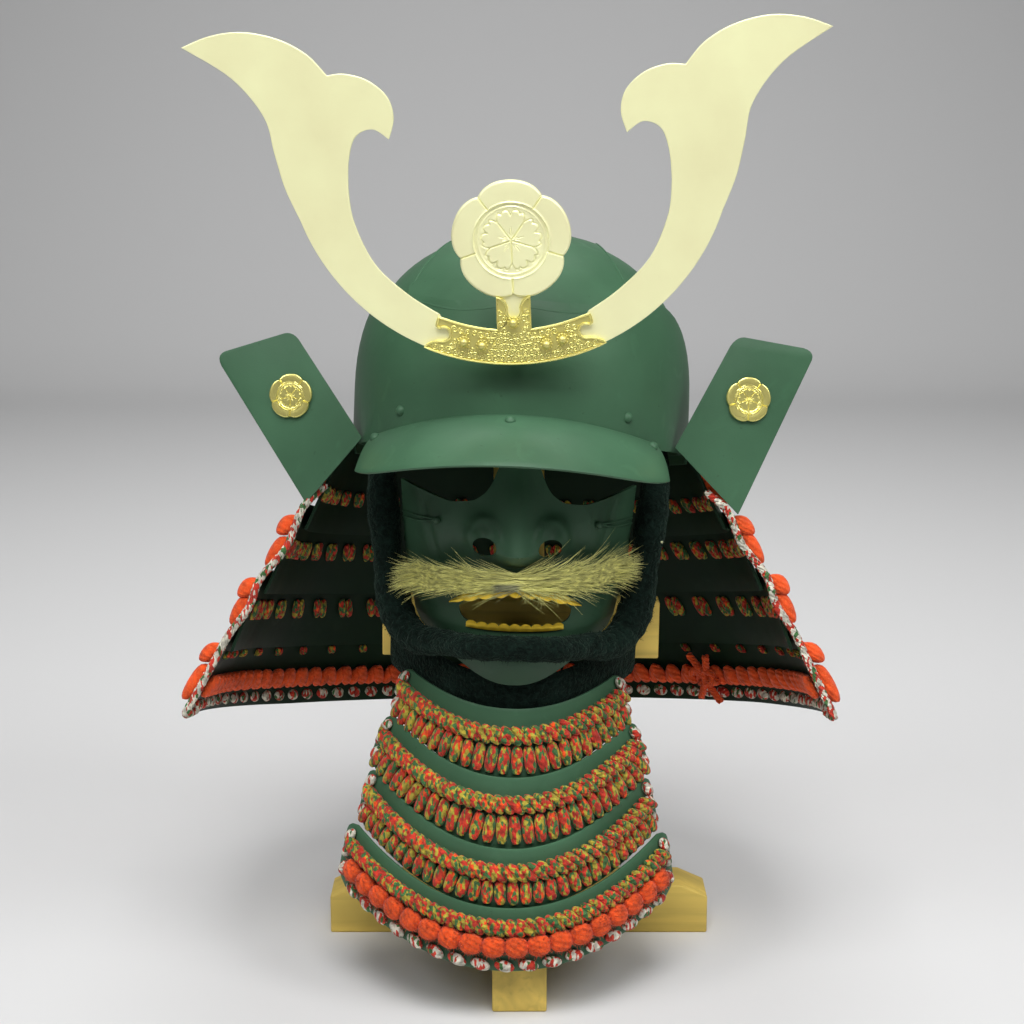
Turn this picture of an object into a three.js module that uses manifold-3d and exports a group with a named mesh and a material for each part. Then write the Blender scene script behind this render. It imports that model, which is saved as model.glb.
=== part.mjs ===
// A kabuto, the samurai helmet, with its face guard and throat guard, on a plain wooden stand.
// Millimetres, +Z up. The front faces -Y, and the origin is on the ground under the stand's post.
import * as THREE from "three";
import { mergeVertices } from "three/addons/utils/BufferGeometryUtils.js";
import Module from "manifold-3d";

const wasm = await Module();
wasm.setup();

const { degToRad, lerp, clamp } = THREE.MathUtils;

// ---- Driving dimensions ------------------------------------------------------------------------

const GAP = 0.3; // clearance between neighbouring pieces
const PLATE = 1.6; // iron plates of the bowl
const LAYER = PLATE + GAP; // step from one riveted plate to the next

// Where the helmet and the face guard sit, and how far they lean on the stand.
const HELMET = { at: [2, 5, 371], pitch: -12, roll: 1.3, yaw: -3 };
const FACE = { at: [-2, 0, 270], roll: 1.8 };
const CREST = { at: [-2.4, -128, 405.8], lean: 5, roll: -1.8, yaw: -3 };

// The bowl, in the helmet's own frame: a dome over a near-upright wall.
const BOWL = { halfWidth: 105.5, halfLength: 119.5, y: 3, waist: -5, height: 104, base: -40, power: 2.35 };
const BOWL_SIDES = 32;
const BROW = { z: -23, drop: 13.5, halfWidth: 88.5 };
const STRIP = { halfWidth: 46, widest: 80, flareFrom: -10, flare: 0.006 };
const FRONT_EDGE = { y: -110, sweep: 90, at: 100, power: 2.6 };
const BAND = { top: -24, bottom: -46 };
const TUCK = 14; // how far one plate runs under the next
const PEAK = { thickness: 1.8, reach: 168, sideY: -78, halfWidth: 98, browAngle: 53.6, rimAngle: 83, arch: 3 };
const PEAK_RIM = { z: -54.6, drop: 9, lift: 5 };
const RIVET = { radius: 3.4, height: 2 };

// The crest, in its own upright frame: x across, z up from the foot of its holder.
const HORN = { thickness: 1.6, outerRadius: 128.7, height: 19.8, tongue: 11 };
const PRONG = { half: 6, foot: 5, top: 34, depth: 2, reach: 15.2, footHeight: 3 };
const TANG = { half: 7.5, foot: 22 };
const HOLDER = { halfWidth: 53, topHalfWidth: 43, stemHalfWidth: 9.7, stemTop: 39.6, notch: 4.3 };
const DISC = { z: 72.5, radius: 35, thickness: 1.6 };
const STUDS = [
  { x: -29.7, z: 14 },
  { x: -19.2, z: 11.7 },
  { x: -0.5, z: 24.7 },
  { x: 18.5, z: 11.5 },
  { x: 28, z: 14.4 },
];

// The wings, hammered by hand, so the two differ a little: corners in x out from the middle, and z.
const WING = { thickness: 1.8, y: -56, from: 98, sweep: 0.15, corner: 9 };
const WINGS = [
  {
    side: -1,
    name: "left",
    innerLow: [97, -37.5],
    outerLow: [132, -80],
    outerTop: [195, 14],
    innerTop: [143.5, 29],
    badge: [144, -12.5],
  },
  {
    side: 1,
    name: "right",
    innerLow: [99.5, -37.5],
    outerLow: [140.5, -78],
    outerTop: [187, 26],
    innerTop: [136.5, 34.5],
    badge: [144.5, -6],
  },
];
const BADGE = { radius: 14.3, thickness: 1.6 };

// The neck guard, in the helmet's frame. Each lame is a ruled band between two rings.
// z is the height at the front edge, half the width, back the reach to the rear, frontY the place
// of the front edge, and pull the share by which the front ends draw in.
const NECK_MIDDLE = 10;
const NECK_TURN = 7 / 9; // the share of each half that curves; the rest runs straight forward
const NECK_TILT = { slope: 0.04, y: -50 };
const NECK_SAG = { depth: 7, at: 170, from: -50, over: 50 };
const NECK_LAME = 2;
const NECK_LAMES = [
  {
    frontY: -42,
    pull: 0.04,
    top: { z: -37, half: 113, back: 121 },
    low: { z: -91, half: 139, back: 142 },
  },
  {
    frontY: -47.5,
    pull: 0.02,
    top: { z: -76, half: 136, back: 139.5 },
    low: { z: -131, half: 161, back: 162 },
  },
  {
    frontY: -50,
    pull: 0.015,
    top: { z: -116, half: 160.5, back: 161.5 },
    low: { z: -168, half: 180, back: 182 },
  },
  {
    frontY: -50,
    pull: 0.01,
    top: { z: -153, half: 178.5, back: 180.5 },
    low: { z: -210, half: 208, back: 205 },
  },
];
const NECK_COLUMNS = 18;
const NECK_LACING = [
  { top: -46, low: -73 },
  { top: -83, low: -114 },
  { top: -122, low: -151 },
  { top: -162, low: -200 },
];
const LACE_GAP = 0.7;
const LACE_REACH = 0.985;
const RIM_BOW = { s: 0.39, z: -189, radius: 3 };
const RIM_ROW = { top: -184, low: -199, thickness: 7 };
const EDGE_CORD = { radius: 3.8, ahead: 5.5, heights: [-90, -104, -122, -140, -158, -176, -194] };

// A lacing row in section, from its top to its bottom: a thick rope, then a row of loops under it.
const LACING_SECTION = [
  { h: 0, stand: 3 },
  { h: 0.2, stand: 9 },
  { h: 0.42, stand: 4 },
  { h: 0.7, stand: 8 },
  { h: 1, stand: 4 },
];

// The face guard, in the face's frame (z from the level of the moustache).
const MASK = { thickness: 2.2, sideY: -60, sidePower: 2.6, columns: 20, rows: 14 };
const MASK_WIDTH = [
  { z: 75, half: 73 },
  { z: 51, half: 74 },
  { z: 8, half: 70.6 },
  { z: -32, half: 63 },
  { z: -50, half: 55 },
  { z: -68, half: 44 },
];
const MASK_TOP = [
  { x: 0, z: 78 },
  { x: 11, z: 77 },
  { x: 14, z: 66 },
  { x: 18, z: 56 },
  { x: 27, z: 48.5 },
  { x: 41, z: 46.3 },
  { x: 55, z: 48.6 },
  { x: 76, z: 52 },
];
const CHIN = { z: -66, rise: 26, power: 2.2 };
const NOSTRIL = { x: 20, z: 22.3, across: 7.2, high: 6.6 };
const MOUTH = { half: 34.5, corner: -19, top: -4, floor: -28, floorHalf: 28 };
const TEETH = { thickness: 1.3, stand: 1.2, upperHalf: 41, upperCount: 9, lowerHalf: 30, lowerCount: 8 };
const MOUSTACHE = { reach: 77, locks: 4, radius: 5, stand: 16.3, z: 2.7, spread: 3.5, fan: 5 };

// The throat guard, in the face's frame: y and z at the middle of each edge, half its width,
// endY where its ends reach back to, and rise how much the ends climb.
const THROAT_LAME = 2;
const THROAT_LAMES = [
  {
    top: { z: -82, half: 69, y: -109, endY: -60, rise: 12 },
    low: { z: -124, half: 77, y: -119, endY: -62, rise: 24 },
  },
  {
    top: { z: -121.7, half: 79, y: -124, endY: -66, rise: 23 },
    low: { z: -166, half: 91, y: -131, endY: -67, rise: 34 },
  },
  {
    top: { z: -163.5, half: 89, y: -136, endY: -74, rise: 31.5 },
    low: { z: -201, half: 97.5, y: -140, endY: -74, rise: 33 },
  },
  {
    top: { z: -198.5, half: 101.6, y: -145, endY: -79, rise: 32.5 },
    low: { z: -237, half: 109, y: -151, endY: -81, rise: 30 },
  },
];
const THROAT_COLUMNS = 12;
const THROAT_REACH = 0.95;
const THROAT_LACING = [
  { top: 0.22, low: 0.93 },
  { top: 0.2, low: 0.91 },
  { top: 0.22, low: 0.91 },
  { top: 0.2, low: 0.8 },
];
const BACKING = { thickness: 3, topZ: -63, topRise: 19, lowZ: -90, lowRise: 13, half: 79.5, y: -104.5, endY: -38 };
const CHIN_CORD = 8;

// The stand: square timber, halved together where it crosses.
const TIMBER = 34;
const CROSS = { half: 128, chamfer: 18 };
const LONG = { half: 138.3 };
const POST = { half: 16.5, top: 427.7 };
const BOARD = { half: 90, x: 1.1, z: 219, height: 38, thickness: 18, roll: 0.8 };
const ARM = { half: 10, low: 208, top: 223, frontY: -99 };
const BLOCK = { radius: 44, base: 428, edge: 444, crown: 457 };

// ---- Finishes ------------------------------------------------------------------------------------

const finish = (color, roughness, metalness) => new THREE.MeshStandardMaterial({ color, roughness, metalness });
const LACQUER = finish(0x3f6350, 0.45, 0.2);
const PALE_GOLD = finish(0xe8dc9a, 0.3, 1);
const GOLD = finish(0xcfa83a, 0.32, 1);
const ORANGE_CORD = finish(0xe8541c, 0.9, 0);
const BRAID = finish(0xa8562c, 0.9, 0);
const EDGE_BRAID = finish(0xc9b39a, 0.9, 0);
const VELVET = finish(0x16302a, 1, 0);
const HAIR = finish(0xd8cf98, 0.8, 0);
const PINE = finish(0xd9c27c, 0.6, 0);

// ---- Solids --------------------------------------------------------------------------------------

// A geometry's closed solid, its faces turned outwards whichever way round it was bent.
function solidOf(geometry) {
  const bare = new THREE.BufferGeometry();
  bare.setAttribute("position", geometry.getAttribute("position"));
  bare.setIndex(geometry.index);
  const merged = mergeVertices(bare, 1e-3);
  const corners = merged.index.array;
  const triangles = [];
  for (let i = 0; i < corners.length; i += 3) {
    const [a, b, c] = corners.slice(i, i + 3);
    if (a !== b && b !== c && c !== a) triangles.push([a, b, c]);
  }
  const build = (list) =>
    new wasm.Manifold(
      new wasm.Mesh({
        numProp: 3,
        vertProperties: Float32Array.from(merged.attributes.position.array),
        triVerts: Uint32Array.from(list.flat()),
      }),
    );
  const made = build(triangles);
  return made.volume() < 0 ? build(triangles.map(([a, b, c]) => [a, c, b])) : made;
}

function geometryOf(solid) {
  const mesh = solid.getMesh();
  const geometry = new THREE.BufferGeometry();
  geometry.setAttribute("position", new THREE.BufferAttribute(Float32Array.from(mesh.vertProperties), 3));
  geometry.setIndex(new THREE.BufferAttribute(Uint32Array.from(mesh.triVerts), 1));
  geometry.computeVertexNormals();
  return geometry;
}

const joined = (solids) => solids.reduce((whole, next) => whole.add(next));

function piece(name, solid, material) {
  const mesh = new THREE.Mesh(geometryOf(solid), material);
  mesh.name = name;
  return mesh;
}

// A box of cells bent to a shape: place(s, h, t) gets s from -1 to 1, h and t from 0 to 1.
function bent(columns, rows, place) {
  const box = new THREE.BoxGeometry(1, 1, 1, columns, rows, 1);
  const spots = box.getAttribute("position");
  for (let i = 0; i < spots.count; i += 1) {
    const p = place(2 * spots.getX(i), spots.getY(i) + 0.5, spots.getZ(i) + 0.5);
    spots.setXYZ(i, p.x, p.y, p.z);
  }
  return solidOf(box);
}

// A wall of even thickness under a surface(s, h) whose outer side is its finished side.
function shell(columns, rows, thickness, outward, surface) {
  const small = 1e-3;
  return bent(columns, rows, (s, h, t) => {
    const p = surface(s, h);
    const alongS = surface(s + small, h).sub(surface(s - small, h));
    const alongH = surface(s, h + small).sub(surface(s, h - small));
    const normal = alongS.cross(alongH).normalize();
    if (normal.dot(outward) < 0) normal.negate();
    return p.addScaledVector(normal, -thickness * t);
  });
}

// A flat outline in X and Z, given depth along Y from its front face.
function plateXZ(shape, front, depth, curveSegments = 8) {
  const geometry = new THREE.ExtrudeGeometry(shape, { depth, bevelEnabled: false, curveSegments });
  geometry.rotateX(Math.PI / 2);
  geometry.translate(0, front + depth, 0);
  return solidOf(geometry);
}

// A plan outline in X and Y, standing from low to high.
function prismXY(shape, low, high) {
  const geometry = new THREE.ExtrudeGeometry(shape, { depth: high - low, bevelEnabled: false });
  geometry.translate(0, 0, low);
  return solidOf(geometry);
}

function block(low, high) {
  const size = high.map((value, i) => value - low[i]);
  const geometry = new THREE.BoxGeometry(...size);
  geometry.translate(...high.map((value, i) => (value + low[i]) / 2));
  return solidOf(geometry);
}

// A round cord of the given radius along a list of points.
function cordAlong(points, radius, steps, sides = 8) {
  const section = new THREE.Shape();
  for (let i = 0; i < sides; i += 1) {
    const angle = (2 * Math.PI * i) / sides;
    const [x, y] = [radius * Math.cos(angle), radius * Math.sin(angle)];
    if (i === 0) section.moveTo(x, y);
    else section.lineTo(x, y);
  }
  const path = new THREE.CatmullRomCurve3(points);
  return solidOf(new THREE.ExtrudeGeometry(section, { steps, extrudePath: path }));
}

// A turned profile of { r, z } rows, standing upright.
function turned(rows, sides) {
  const geometry = new THREE.LatheGeometry(rows.map(({ r, z }) => new THREE.Vector2(r, z)), sides);
  geometry.rotateX(Math.PI / 2);
  return geometry;
}

// The value of a column of a table at a place, straight between its rows.
function lookUp(table, key, value, at) {
  const rows = table[0][key] < table[1][key] ? table : [...table].reverse();
  const next = rows.findIndex((row) => row[key] >= at);
  if (next === 0) return rows[0][value];
  if (next < 0) return rows.at(-1)[value];
  const [a, b] = [rows[next - 1], rows[next]];
  return lerp(a[value], b[value], (at - a[key]) / (b[key] - a[key]));
}

const hill = (distance, width) => Math.exp(-((distance / width) ** 2));
const vec = (x, y, z) => new THREE.Vector3(x, y, z);
const mirrorX = (solid) => solid.scale([-1, 1, 1]);

// A small domed head set on a surface at a point, standing along its normal.
function rivetAt(point, normal) {
  const { radius, height } = RIVET;
  const rows = [
    { r: 0, z: 0 },
    { r: radius, z: 0 },
    { r: 0.75 * radius, z: 0.7 * height },
    { r: 0, z: height },
  ];
  const head = turned(rows, 6);
  head.applyQuaternion(new THREE.Quaternion().setFromUnitVectors(vec(0, 0, 1), normal.clone().normalize()));
  head.translate(...point.clone().addScaledVector(normal, GAP).toArray());
  return solidOf(head);
}

// ---- The bowl ------------------------------------------------------------------------------------

// The closed dome of one layer of plate, wall included.
function domeShell(layer) {
  const { halfWidth, halfLength, y, waist, height, base, power } = BOWL;
  const steps = 6;
  const curve = (offset) => {
    const rows = [];
    for (let i = 0; i <= steps; i += 1) {
      const angle = (Math.PI / 2) * (i / steps);
      const r = (halfWidth + offset) * Math.sin(angle) ** (2 / power);
      rows.push({ r, z: waist + (height + offset) * Math.cos(angle) ** (2 / power) });
    }
    rows.push({ r: halfWidth + offset, z: base });
    return rows;
  };
  const outer = layer * LAYER;
  const rows = [...curve(outer), ...curve(outer - PLATE).reverse()];
  rows[0].r = 0;
  rows.at(-1).r = 0;
  const geometry = turned(rows.reverse(), BOWL_SIDES);
  geometry.scale(1, halfLength / halfWidth, 1);
  geometry.translate(0, y, 0);
  return solidOf(geometry);
}

const frontEdge = (x) => FRONT_EDGE.y + FRONT_EDGE.sweep * (Math.abs(x) / FRONT_EDGE.at) ** FRONT_EDGE.power;
const browZ = (x) => BROW.z - BROW.drop * (Math.min(Math.abs(x), BROW.halfWidth) / BROW.halfWidth) ** 2;

function stripHalf(y, extra) {
  const { halfWidth, widest, flareFrom, flare } = STRIP;
  return Math.min(halfWidth + flare * Math.max(0, flareFrom - y) ** 2, widest) + extra;
}

// The plan region in front of the front plate's rear edge, moved back by a margin.
function frontRegion(margin) {
  const reach = 120;
  const columns = 12;
  const shape = new THREE.Shape();
  shape.moveTo(-reach, -160);
  shape.lineTo(reach, -160);
  for (let i = columns; i >= 0; i -= 1) {
    const x = -reach + (2 * reach * i) / columns;
    shape.lineTo(x, frontEdge(x) + margin);
  }
  return prismXY(shape, -80, 130);
}

// The plan region of the top plate: a strip from front to back.
function stripRegion(extra) {
  const rows = 6;
  const [front, back] = [-124, 140];
  const shape = new THREE.Shape();
  for (let side = -1; side <= 1; side += 2) {
    for (let i = 0; i <= rows; i += 1) {
      const y = side < 0 ? lerp(front, back, i / rows) : lerp(back, front, i / rows);
      const x = side * stripHalf(y, extra);
      if (side < 0 && i === 0) shape.moveTo(x, y);
      else shape.lineTo(x, y);
    }
  }
  return prismXY(shape, -80, 130);
}

// All that lies under the brow line in front of the ears.
function underBrow() {
  const shape = new THREE.Shape();
  const columns = 10;
  shape.moveTo(-130, -90);
  for (let i = 0; i <= columns; i += 1) {
    const x = lerp(-BROW.halfWidth, BROW.halfWidth, i / columns);
    shape.lineTo(x, browZ(x) - 1);
  }
  shape.lineTo(130, -90);
  return plateXZ(shape, -160, 105);
}

function bowlPieces() {
  const cut = underBrow();
  const [inner, middle, outer] = [0, 1, 2].map((layer) => domeShell(layer));
  const side = inner.subtract(stripRegion(-TUCK)).subtract(frontRegion(-TUCK)).subtract(cut);
  const right = side.intersect(block([0, -200, -100], [200, 200, 200]));
  const left = side.intersect(block([-200, -200, -100], [0, 200, 200]));
  const top = middle.intersect(stripRegion(0)).subtract(frontRegion(-TUCK));
  const front = outer.intersect(frontRegion(0)).subtract(cut);
  const ring = block([-200, -200, BAND.bottom], [200, 200, BAND.top]);
  const band = bandShell().intersect(ring).subtract(frontRegion(GAP));
  return [
    piece("bowl_side_left", left, LACQUER),
    piece("bowl_side_right", right, LACQUER),
    piece("bowl_top_plate", top, LACQUER),
    piece("bowl_front_plate", front, LACQUER),
    piece("bowl_base_band", band, LACQUER),
  ];
}

// The upright wall of the base band, outside the plates that it holds together.
function bandShell() {
  const { halfWidth, halfLength, y } = BOWL;
  const outer = halfWidth + 2 * LAYER;
  const inner = outer - PLATE;
  const wall = [
    { r: inner, z: BAND.bottom },
    { r: outer, z: BAND.bottom },
    { r: outer, z: BAND.top },
    { r: inner, z: BAND.top },
    { r: inner, z: BAND.bottom },
  ];
  const geometry = turned(wall, BOWL_SIDES);
  geometry.scale(1, halfLength / halfWidth, 1);
  geometry.translate(0, y, 0);
  return solidOf(geometry);
}

// The front plate's outer surface at a place across the forehead, low on its upright wall.
function foreheadPoint(x, z, stand) {
  const a = BOWL.halfWidth + 2 * LAYER + stand;
  const b = (a * BOWL.halfLength) / BOWL.halfWidth;
  return vec(x, BOWL.y - b * Math.sqrt(1 - (x / a) ** 2), z);
}

function foreheadNormal(x) {
  const a = BOWL.halfWidth + 2 * LAYER;
  const b = (a * BOWL.halfLength) / BOWL.halfWidth;
  return vec(x / a ** 2, (foreheadPoint(x, 0, 0).y - BOWL.y) / b ** 2, 0).normalize();
}

// ---- The peak ------------------------------------------------------------------------------------

function peakPoint(s, h) {
  const corner = 1 - 0.045 * Math.abs(2 * h - 1) ** 3;
  const u = s * corner;
  const browX = (BOWL.halfWidth + 2 * LAYER) * Math.sin(degToRad(PEAK.browAngle * u));
  const brow = foreheadPoint(browX, browZ(browX), 2.2);
  const angle = degToRad(PEAK.rimAngle * u);
  const [across, along] = [Math.sin(angle), Math.cos(angle)];
  const rimZ = PEAK_RIM.z - PEAK_RIM.drop * across ** 2 + PEAK_RIM.lift * Math.abs(across) ** 12;
  const rim = vec(PEAK.halfWidth * across, PEAK.sideY - (PEAK.reach + PEAK.sideY) * along, rimZ);
  const p = brow.lerp(rim, h);
  p.z += PEAK.arch * Math.sin(Math.PI * h);
  p.y -= 0.6 * PEAK.arch * Math.sin(Math.PI * h);
  return p;
}

function peakNormal(s, h) {
  const small = 1e-3;
  const alongS = peakPoint(s + small, h).sub(peakPoint(s - small, h));
  const alongH = peakPoint(s, h + small).sub(peakPoint(s, h - small));
  const normal = alongS.cross(alongH).normalize();
  return normal.z < 0 ? normal.negate() : normal;
}

function peakPieces() {
  const plate = shell(18, 2, PEAK.thickness, vec(0, -0.5, 1), peakPoint);
  const spots = [
    { name: "peak_rivet_left", s: -0.93, h: 0.2 },
    { name: "peak_rivet_centre", s: 0, h: 0.18 },
    { name: "peak_rivet_right", s: 0.93, h: 0.2 },
  ];
  const heads = spots.map(({ name, s, h }) => piece(name, rivetAt(peakPoint(s, h), peakNormal(s, h)), LACQUER));
  return [piece("peak", plate, LACQUER), ...heads];
}

function frontRivets() {
  return [-1, 1].map((side) => {
    const x = 69.5 * side;
    const name = side < 0 ? "front_rivet_left" : "front_rivet_right";
    return piece(name, rivetAt(foreheadPoint(x, -21.5, 0), foreheadNormal(x)), LACQUER);
  });
}

// ---- The crest -----------------------------------------------------------------------------------

// The height of a circle about the crest's centre line that touches its foot.
const footArc = (x, inset) => HORN.outerRadius - Math.sqrt((HORN.outerRadius - inset) ** 2 - x ** 2);

function hornShape() {
  const points = (rows) => rows.map(([x, z]) => new THREE.Vector2(x, z));
  const { outerRadius, height, tongue } = HORN;
  const shape = new THREE.Shape();
  const leave = degToRad(71);
  shape.moveTo(tongue, footArc(tongue, 0));
  shape.absarc(0, outerRadius, outerRadius, -Math.PI / 2 + tongue / outerRadius, -Math.PI / 2 + leave, false);
  shape.splineThru(points([[129.5, 106], [134.3, 126], [139, 147], [156, 169], [183.3, 187]]));
  shape.splineThru(points([[167, 192.8], [148, 194.5], [128, 190], [112, 181], [101.3, 169]]));
  shape.splineThru(points([[91, 169.6], [78, 165.5], [67.5, 156], [64.5, 144], [67.8, 132]]));
  shape.splineThru(points([[77, 138], [87, 134], [91.5, 121], [92.7, 105]]));
  shape.splineThru(points([[90.5, 85.5], [79.7, 60.7], [61.5, 42.5], [43.5, 30.2]]));
  const inner = outerRadius - height;
  shape.absarc(0, outerRadius, inner, -Math.PI / 2 + 0.4, -Math.PI / 2 + tongue / inner, true);
  return shape;
}

function holderShape() {
  const { halfWidth, topHalfWidth, stemHalfWidth, stemTop, notch } = HOLDER;
  const { outerRadius, height } = HORN;
  const inner = outerRadius - height;
  const low = Math.asin(halfWidth / outerRadius);
  const high = Math.asin(topHalfWidth / inner);
  const stem = Math.asin(stemHalfWidth / inner);
  const down = -Math.PI / 2;
  const notchZ = footArc(44, 0) + 11;
  const shape = new THREE.Shape();
  shape.moveTo(-halfWidth, footArc(halfWidth, 0));
  shape.absarc(0, outerRadius, outerRadius, down - low, down + low, false);
  shape.quadraticCurveTo(halfWidth - 4, notchZ - 3, halfWidth - 9, notchZ - notch);
  shape.absarc(halfWidth - 9.6, notchZ, notch, down, down + Math.PI, true);
  shape.quadraticCurveTo(halfWidth - 7, notchZ + notch + 1.5, topHalfWidth + 1, footArc(topHalfWidth, height));
  shape.absarc(0, outerRadius, inner, down + high, down + stem, true);
  shape.lineTo(stemHalfWidth, stemTop);
  shape.quadraticCurveTo(5.5, stemTop - 1, 4, stemTop - 6);
  shape.absarc(0, stemTop - 8.5, notch, degToRad(35), degToRad(145), true);
  shape.quadraticCurveTo(-5.5, stemTop - 1, -stemHalfWidth, stemTop);
  shape.absarc(0, outerRadius, inner, down - stem, down - high, true);
  shape.quadraticCurveTo(7 - halfWidth, notchZ + notch + 1.5, 9 - halfWidth, notchZ + notch);
  shape.absarc(9.6 - halfWidth, notchZ, notch, down + Math.PI, down, true);
  shape.quadraticCurveTo(4 - halfWidth, notchZ - 3, -halfWidth, footArc(halfWidth, 0));
  return shape;
}

// A five-lobed disc with a raised ring and a five-petalled blossom, its middle at the origin.
function blossomDisc(radius, thickness, relief, fineness) {
  const lobes = 5;
  const steps = 10 * fineness;
  const outline = new THREE.Shape();
  for (let i = 0; i < steps; i += 1) {
    const angle = Math.PI / 2 + (2 * Math.PI * i) / steps;
    const lobe = (i * lobes) / steps;
    const fromSeam = 2 * Math.abs(lobe - Math.round(lobe));
    const r = radius * (1 - 0.1 * fromSeam ** 3);
    if (i === 0) outline.moveTo(r * Math.cos(angle), r * Math.sin(angle));
    else outline.lineTo(r * Math.cos(angle), r * Math.sin(angle));
  }
  const ring = new THREE.Shape();
  ring.absarc(0, 0, 0.63 * radius, 0, 2 * Math.PI, false);
  const hole = new THREE.Path();
  hole.absarc(0, 0, 0.57 * radius, 0, 2 * Math.PI, true);
  ring.holes.push(hole);
  const solids = [plateXZ(outline, 0, thickness), plateXZ(ring, -relief, relief + 0.4, 4 * fineness)];
  for (let i = 0; i < lobes; i += 1) {
    const petal = new THREE.Shape();
    const turn = Math.PI / 2 + (2 * Math.PI * i) / lobes;
    petal.absellipse(
      0.3 * radius * Math.cos(turn),
      0.3 * radius * Math.sin(turn),
      0.2 * radius,
      0.15 * radius,
      0,
      2 * Math.PI,
      false,
      turn,
    );
    solids.push(plateXZ(petal, -relief, relief + 0.4, fineness));
  }
  return joined(solids);
}

function studAt({ x, z }) {
  const rows = [
    { r: 0, z: 0 },
    { r: 3.6, z: 0 },
    { r: 3.6, z: 0.9 },
    { r: 2.9, z: 2.6 },
    { r: 1.9, z: 4.2 },
    { r: 0, z: 4.9 },
  ];
  const geometry = turned(rows, 6);
  geometry.rotateX(Math.PI / 2);
  geometry.translate(x, -PLATE - 2 * GAP, z);
  return solidOf(geometry);
}

function crestPieces() {
  const horn = plateXZ(hornShape(), 0, HORN.thickness, 2);
  const tang = block([-TANG.half, 0, TANG.foot], [TANG.half, DISC.thickness, DISC.z]);
  const disc = blossomDisc(DISC.radius, DISC.thickness, 1.2, 3).translate([0, 0, DISC.z]).add(tang);
  const behind = HORN.thickness + GAP;
  const prong = block([-PRONG.half, behind, PRONG.foot], [PRONG.half, behind + PRONG.depth, PRONG.top]);
  const prongFoot = block([-PRONG.half, behind, PRONG.foot], [PRONG.half, PRONG.reach, PRONG.foot + PRONG.footHeight]);
  const group = placed(CREST.at, CREST.lean, CREST.roll, CREST.yaw);
  group.add(
    piece("crest_horn_left", mirrorX(horn), PALE_GOLD),
    piece("crest_horn_right", horn, PALE_GOLD),
    piece("crest_holder", plateXZ(holderShape(), -PLATE - GAP, PLATE, 3), GOLD),
    piece("crest_disc", disc, PALE_GOLD),
    piece("crest_prong", prong.add(prongFoot), LACQUER),
    ...STUDS.map((stud, i) => piece(`crest_stud_${i + 1}`, studAt(stud), GOLD)),
  );
  return group;
}

// ---- The wings -----------------------------------------------------------------------------------

const wingY = (x) => WING.y + WING.sweep * (x - WING.from);

// One wing, on the right side: a leaning plate with two rounded corners.
function wingPlate({ innerLow, outerLow, outerTop, innerTop }) {
  const { corner, thickness, sweep, from } = WING;
  const shape = new THREE.Shape();
  shape.moveTo(...innerLow);
  shape.lineTo(...outerLow);
  shape.lineTo(outerTop[0] - 0.48 * corner, outerTop[1] - 0.88 * corner);
  shape.quadraticCurveTo(...outerTop, outerTop[0] - 0.97 * corner, outerTop[1] + 0.23 * corner);
  shape.lineTo(innerTop[0] + 0.7 * corner, innerTop[1] - 0.17 * corner);
  shape.quadraticCurveTo(...innerTop, innerTop[0] - 0.5 * corner, innerTop[1] - 0.8 * corner);
  const plate = new THREE.ExtrudeGeometry(shape, { depth: thickness, bevelEnabled: false, curveSegments: 5 });
  plate.rotateX(Math.PI / 2);
  plate.translate(-from, WING.y + thickness, 0);
  plate.applyMatrix4(new THREE.Matrix4().makeShear(sweep, 0, 0, 0, 0, 0));
  plate.translate(from, 0, 0);
  return solidOf(plate);
}

function wingBadge([x, z]) {
  const turn = THREE.MathUtils.radToDeg(Math.atan(WING.sweep));
  const stand = BADGE.thickness + GAP + 0.1;
  const disc = blossomDisc(BADGE.radius, BADGE.thickness, 0.8, 2);
  return disc.rotate([0, 0, turn]).translate([x, wingY(x) - stand, z]);
}

function wingPieces() {
  return WINGS.flatMap((wing) => {
    const facing = (solid) => (wing.side < 0 ? mirrorX(solid) : solid);
    return [
      piece(`wing_${wing.name}`, facing(wingPlate(wing)), LACQUER),
      piece(`wing_badge_${wing.name}`, facing(wingBadge(wing.badge)), GOLD),
    ];
  });
}

// ---- The neck guard --------------------------------------------------------------------------------

// A point of a neck lame: s from the left front end round the back to the right one, at the
// height that its front edge has, and out from its outer face. The guard hangs a little askew.
function neckPoint(row, s, z, out) {
  const { top, low, pull, frontY } = NECK_LAMES[row];
  const share = (top.z - z) / (top.z - low.z);
  const half = lerp(top.half, low.half, share) + out;
  const back = lerp(top.back, low.back, share) + out;
  const turn = NECK_TURN;
  const side = Math.sign(s);
  const way = Math.abs(s);
  let [x, y] = [0, 0];
  if (way <= turn) {
    const angle = (way / turn) * (Math.PI / 2);
    x = side * half * Math.sin(angle);
    y = NECK_MIDDLE + back * Math.cos(angle);
  } else {
    const ahead = (way - turn) / (1 - turn);
    x = side * half * (1 - pull * ahead ** 2);
    y = lerp(NECK_MIDDLE, frontY, ahead);
  }
  const lowness = clamp((NECK_SAG.from - z) / NECK_SAG.over, 0, 1);
  const sag = NECK_SAG.depth * lowness * clamp(x / NECK_SAG.at, -1, 1);
  return vec(x, y, z + sag - NECK_TILT.slope * (y - NECK_TILT.y));
}

function neckLame(row) {
  const { top, low } = NECK_LAMES[row];
  return bent(NECK_COLUMNS, 1, (s, h, t) => neckPoint(row, s, lerp(top.z, low.z, h), -NECK_LAME * t));
}

// A row of lacing as one solid of the section above; at(s, h, out) is the plate that it lies on.
function lacingRow(columns, scale, at) {
  const rows = LACING_SECTION.length - 1;
  return bent(columns, rows, (s, h, t) => {
    const row = LACING_SECTION[Math.round(h * rows)];
    return at(s, row.h, LACE_GAP + t * scale * row.stand);
  });
}

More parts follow.
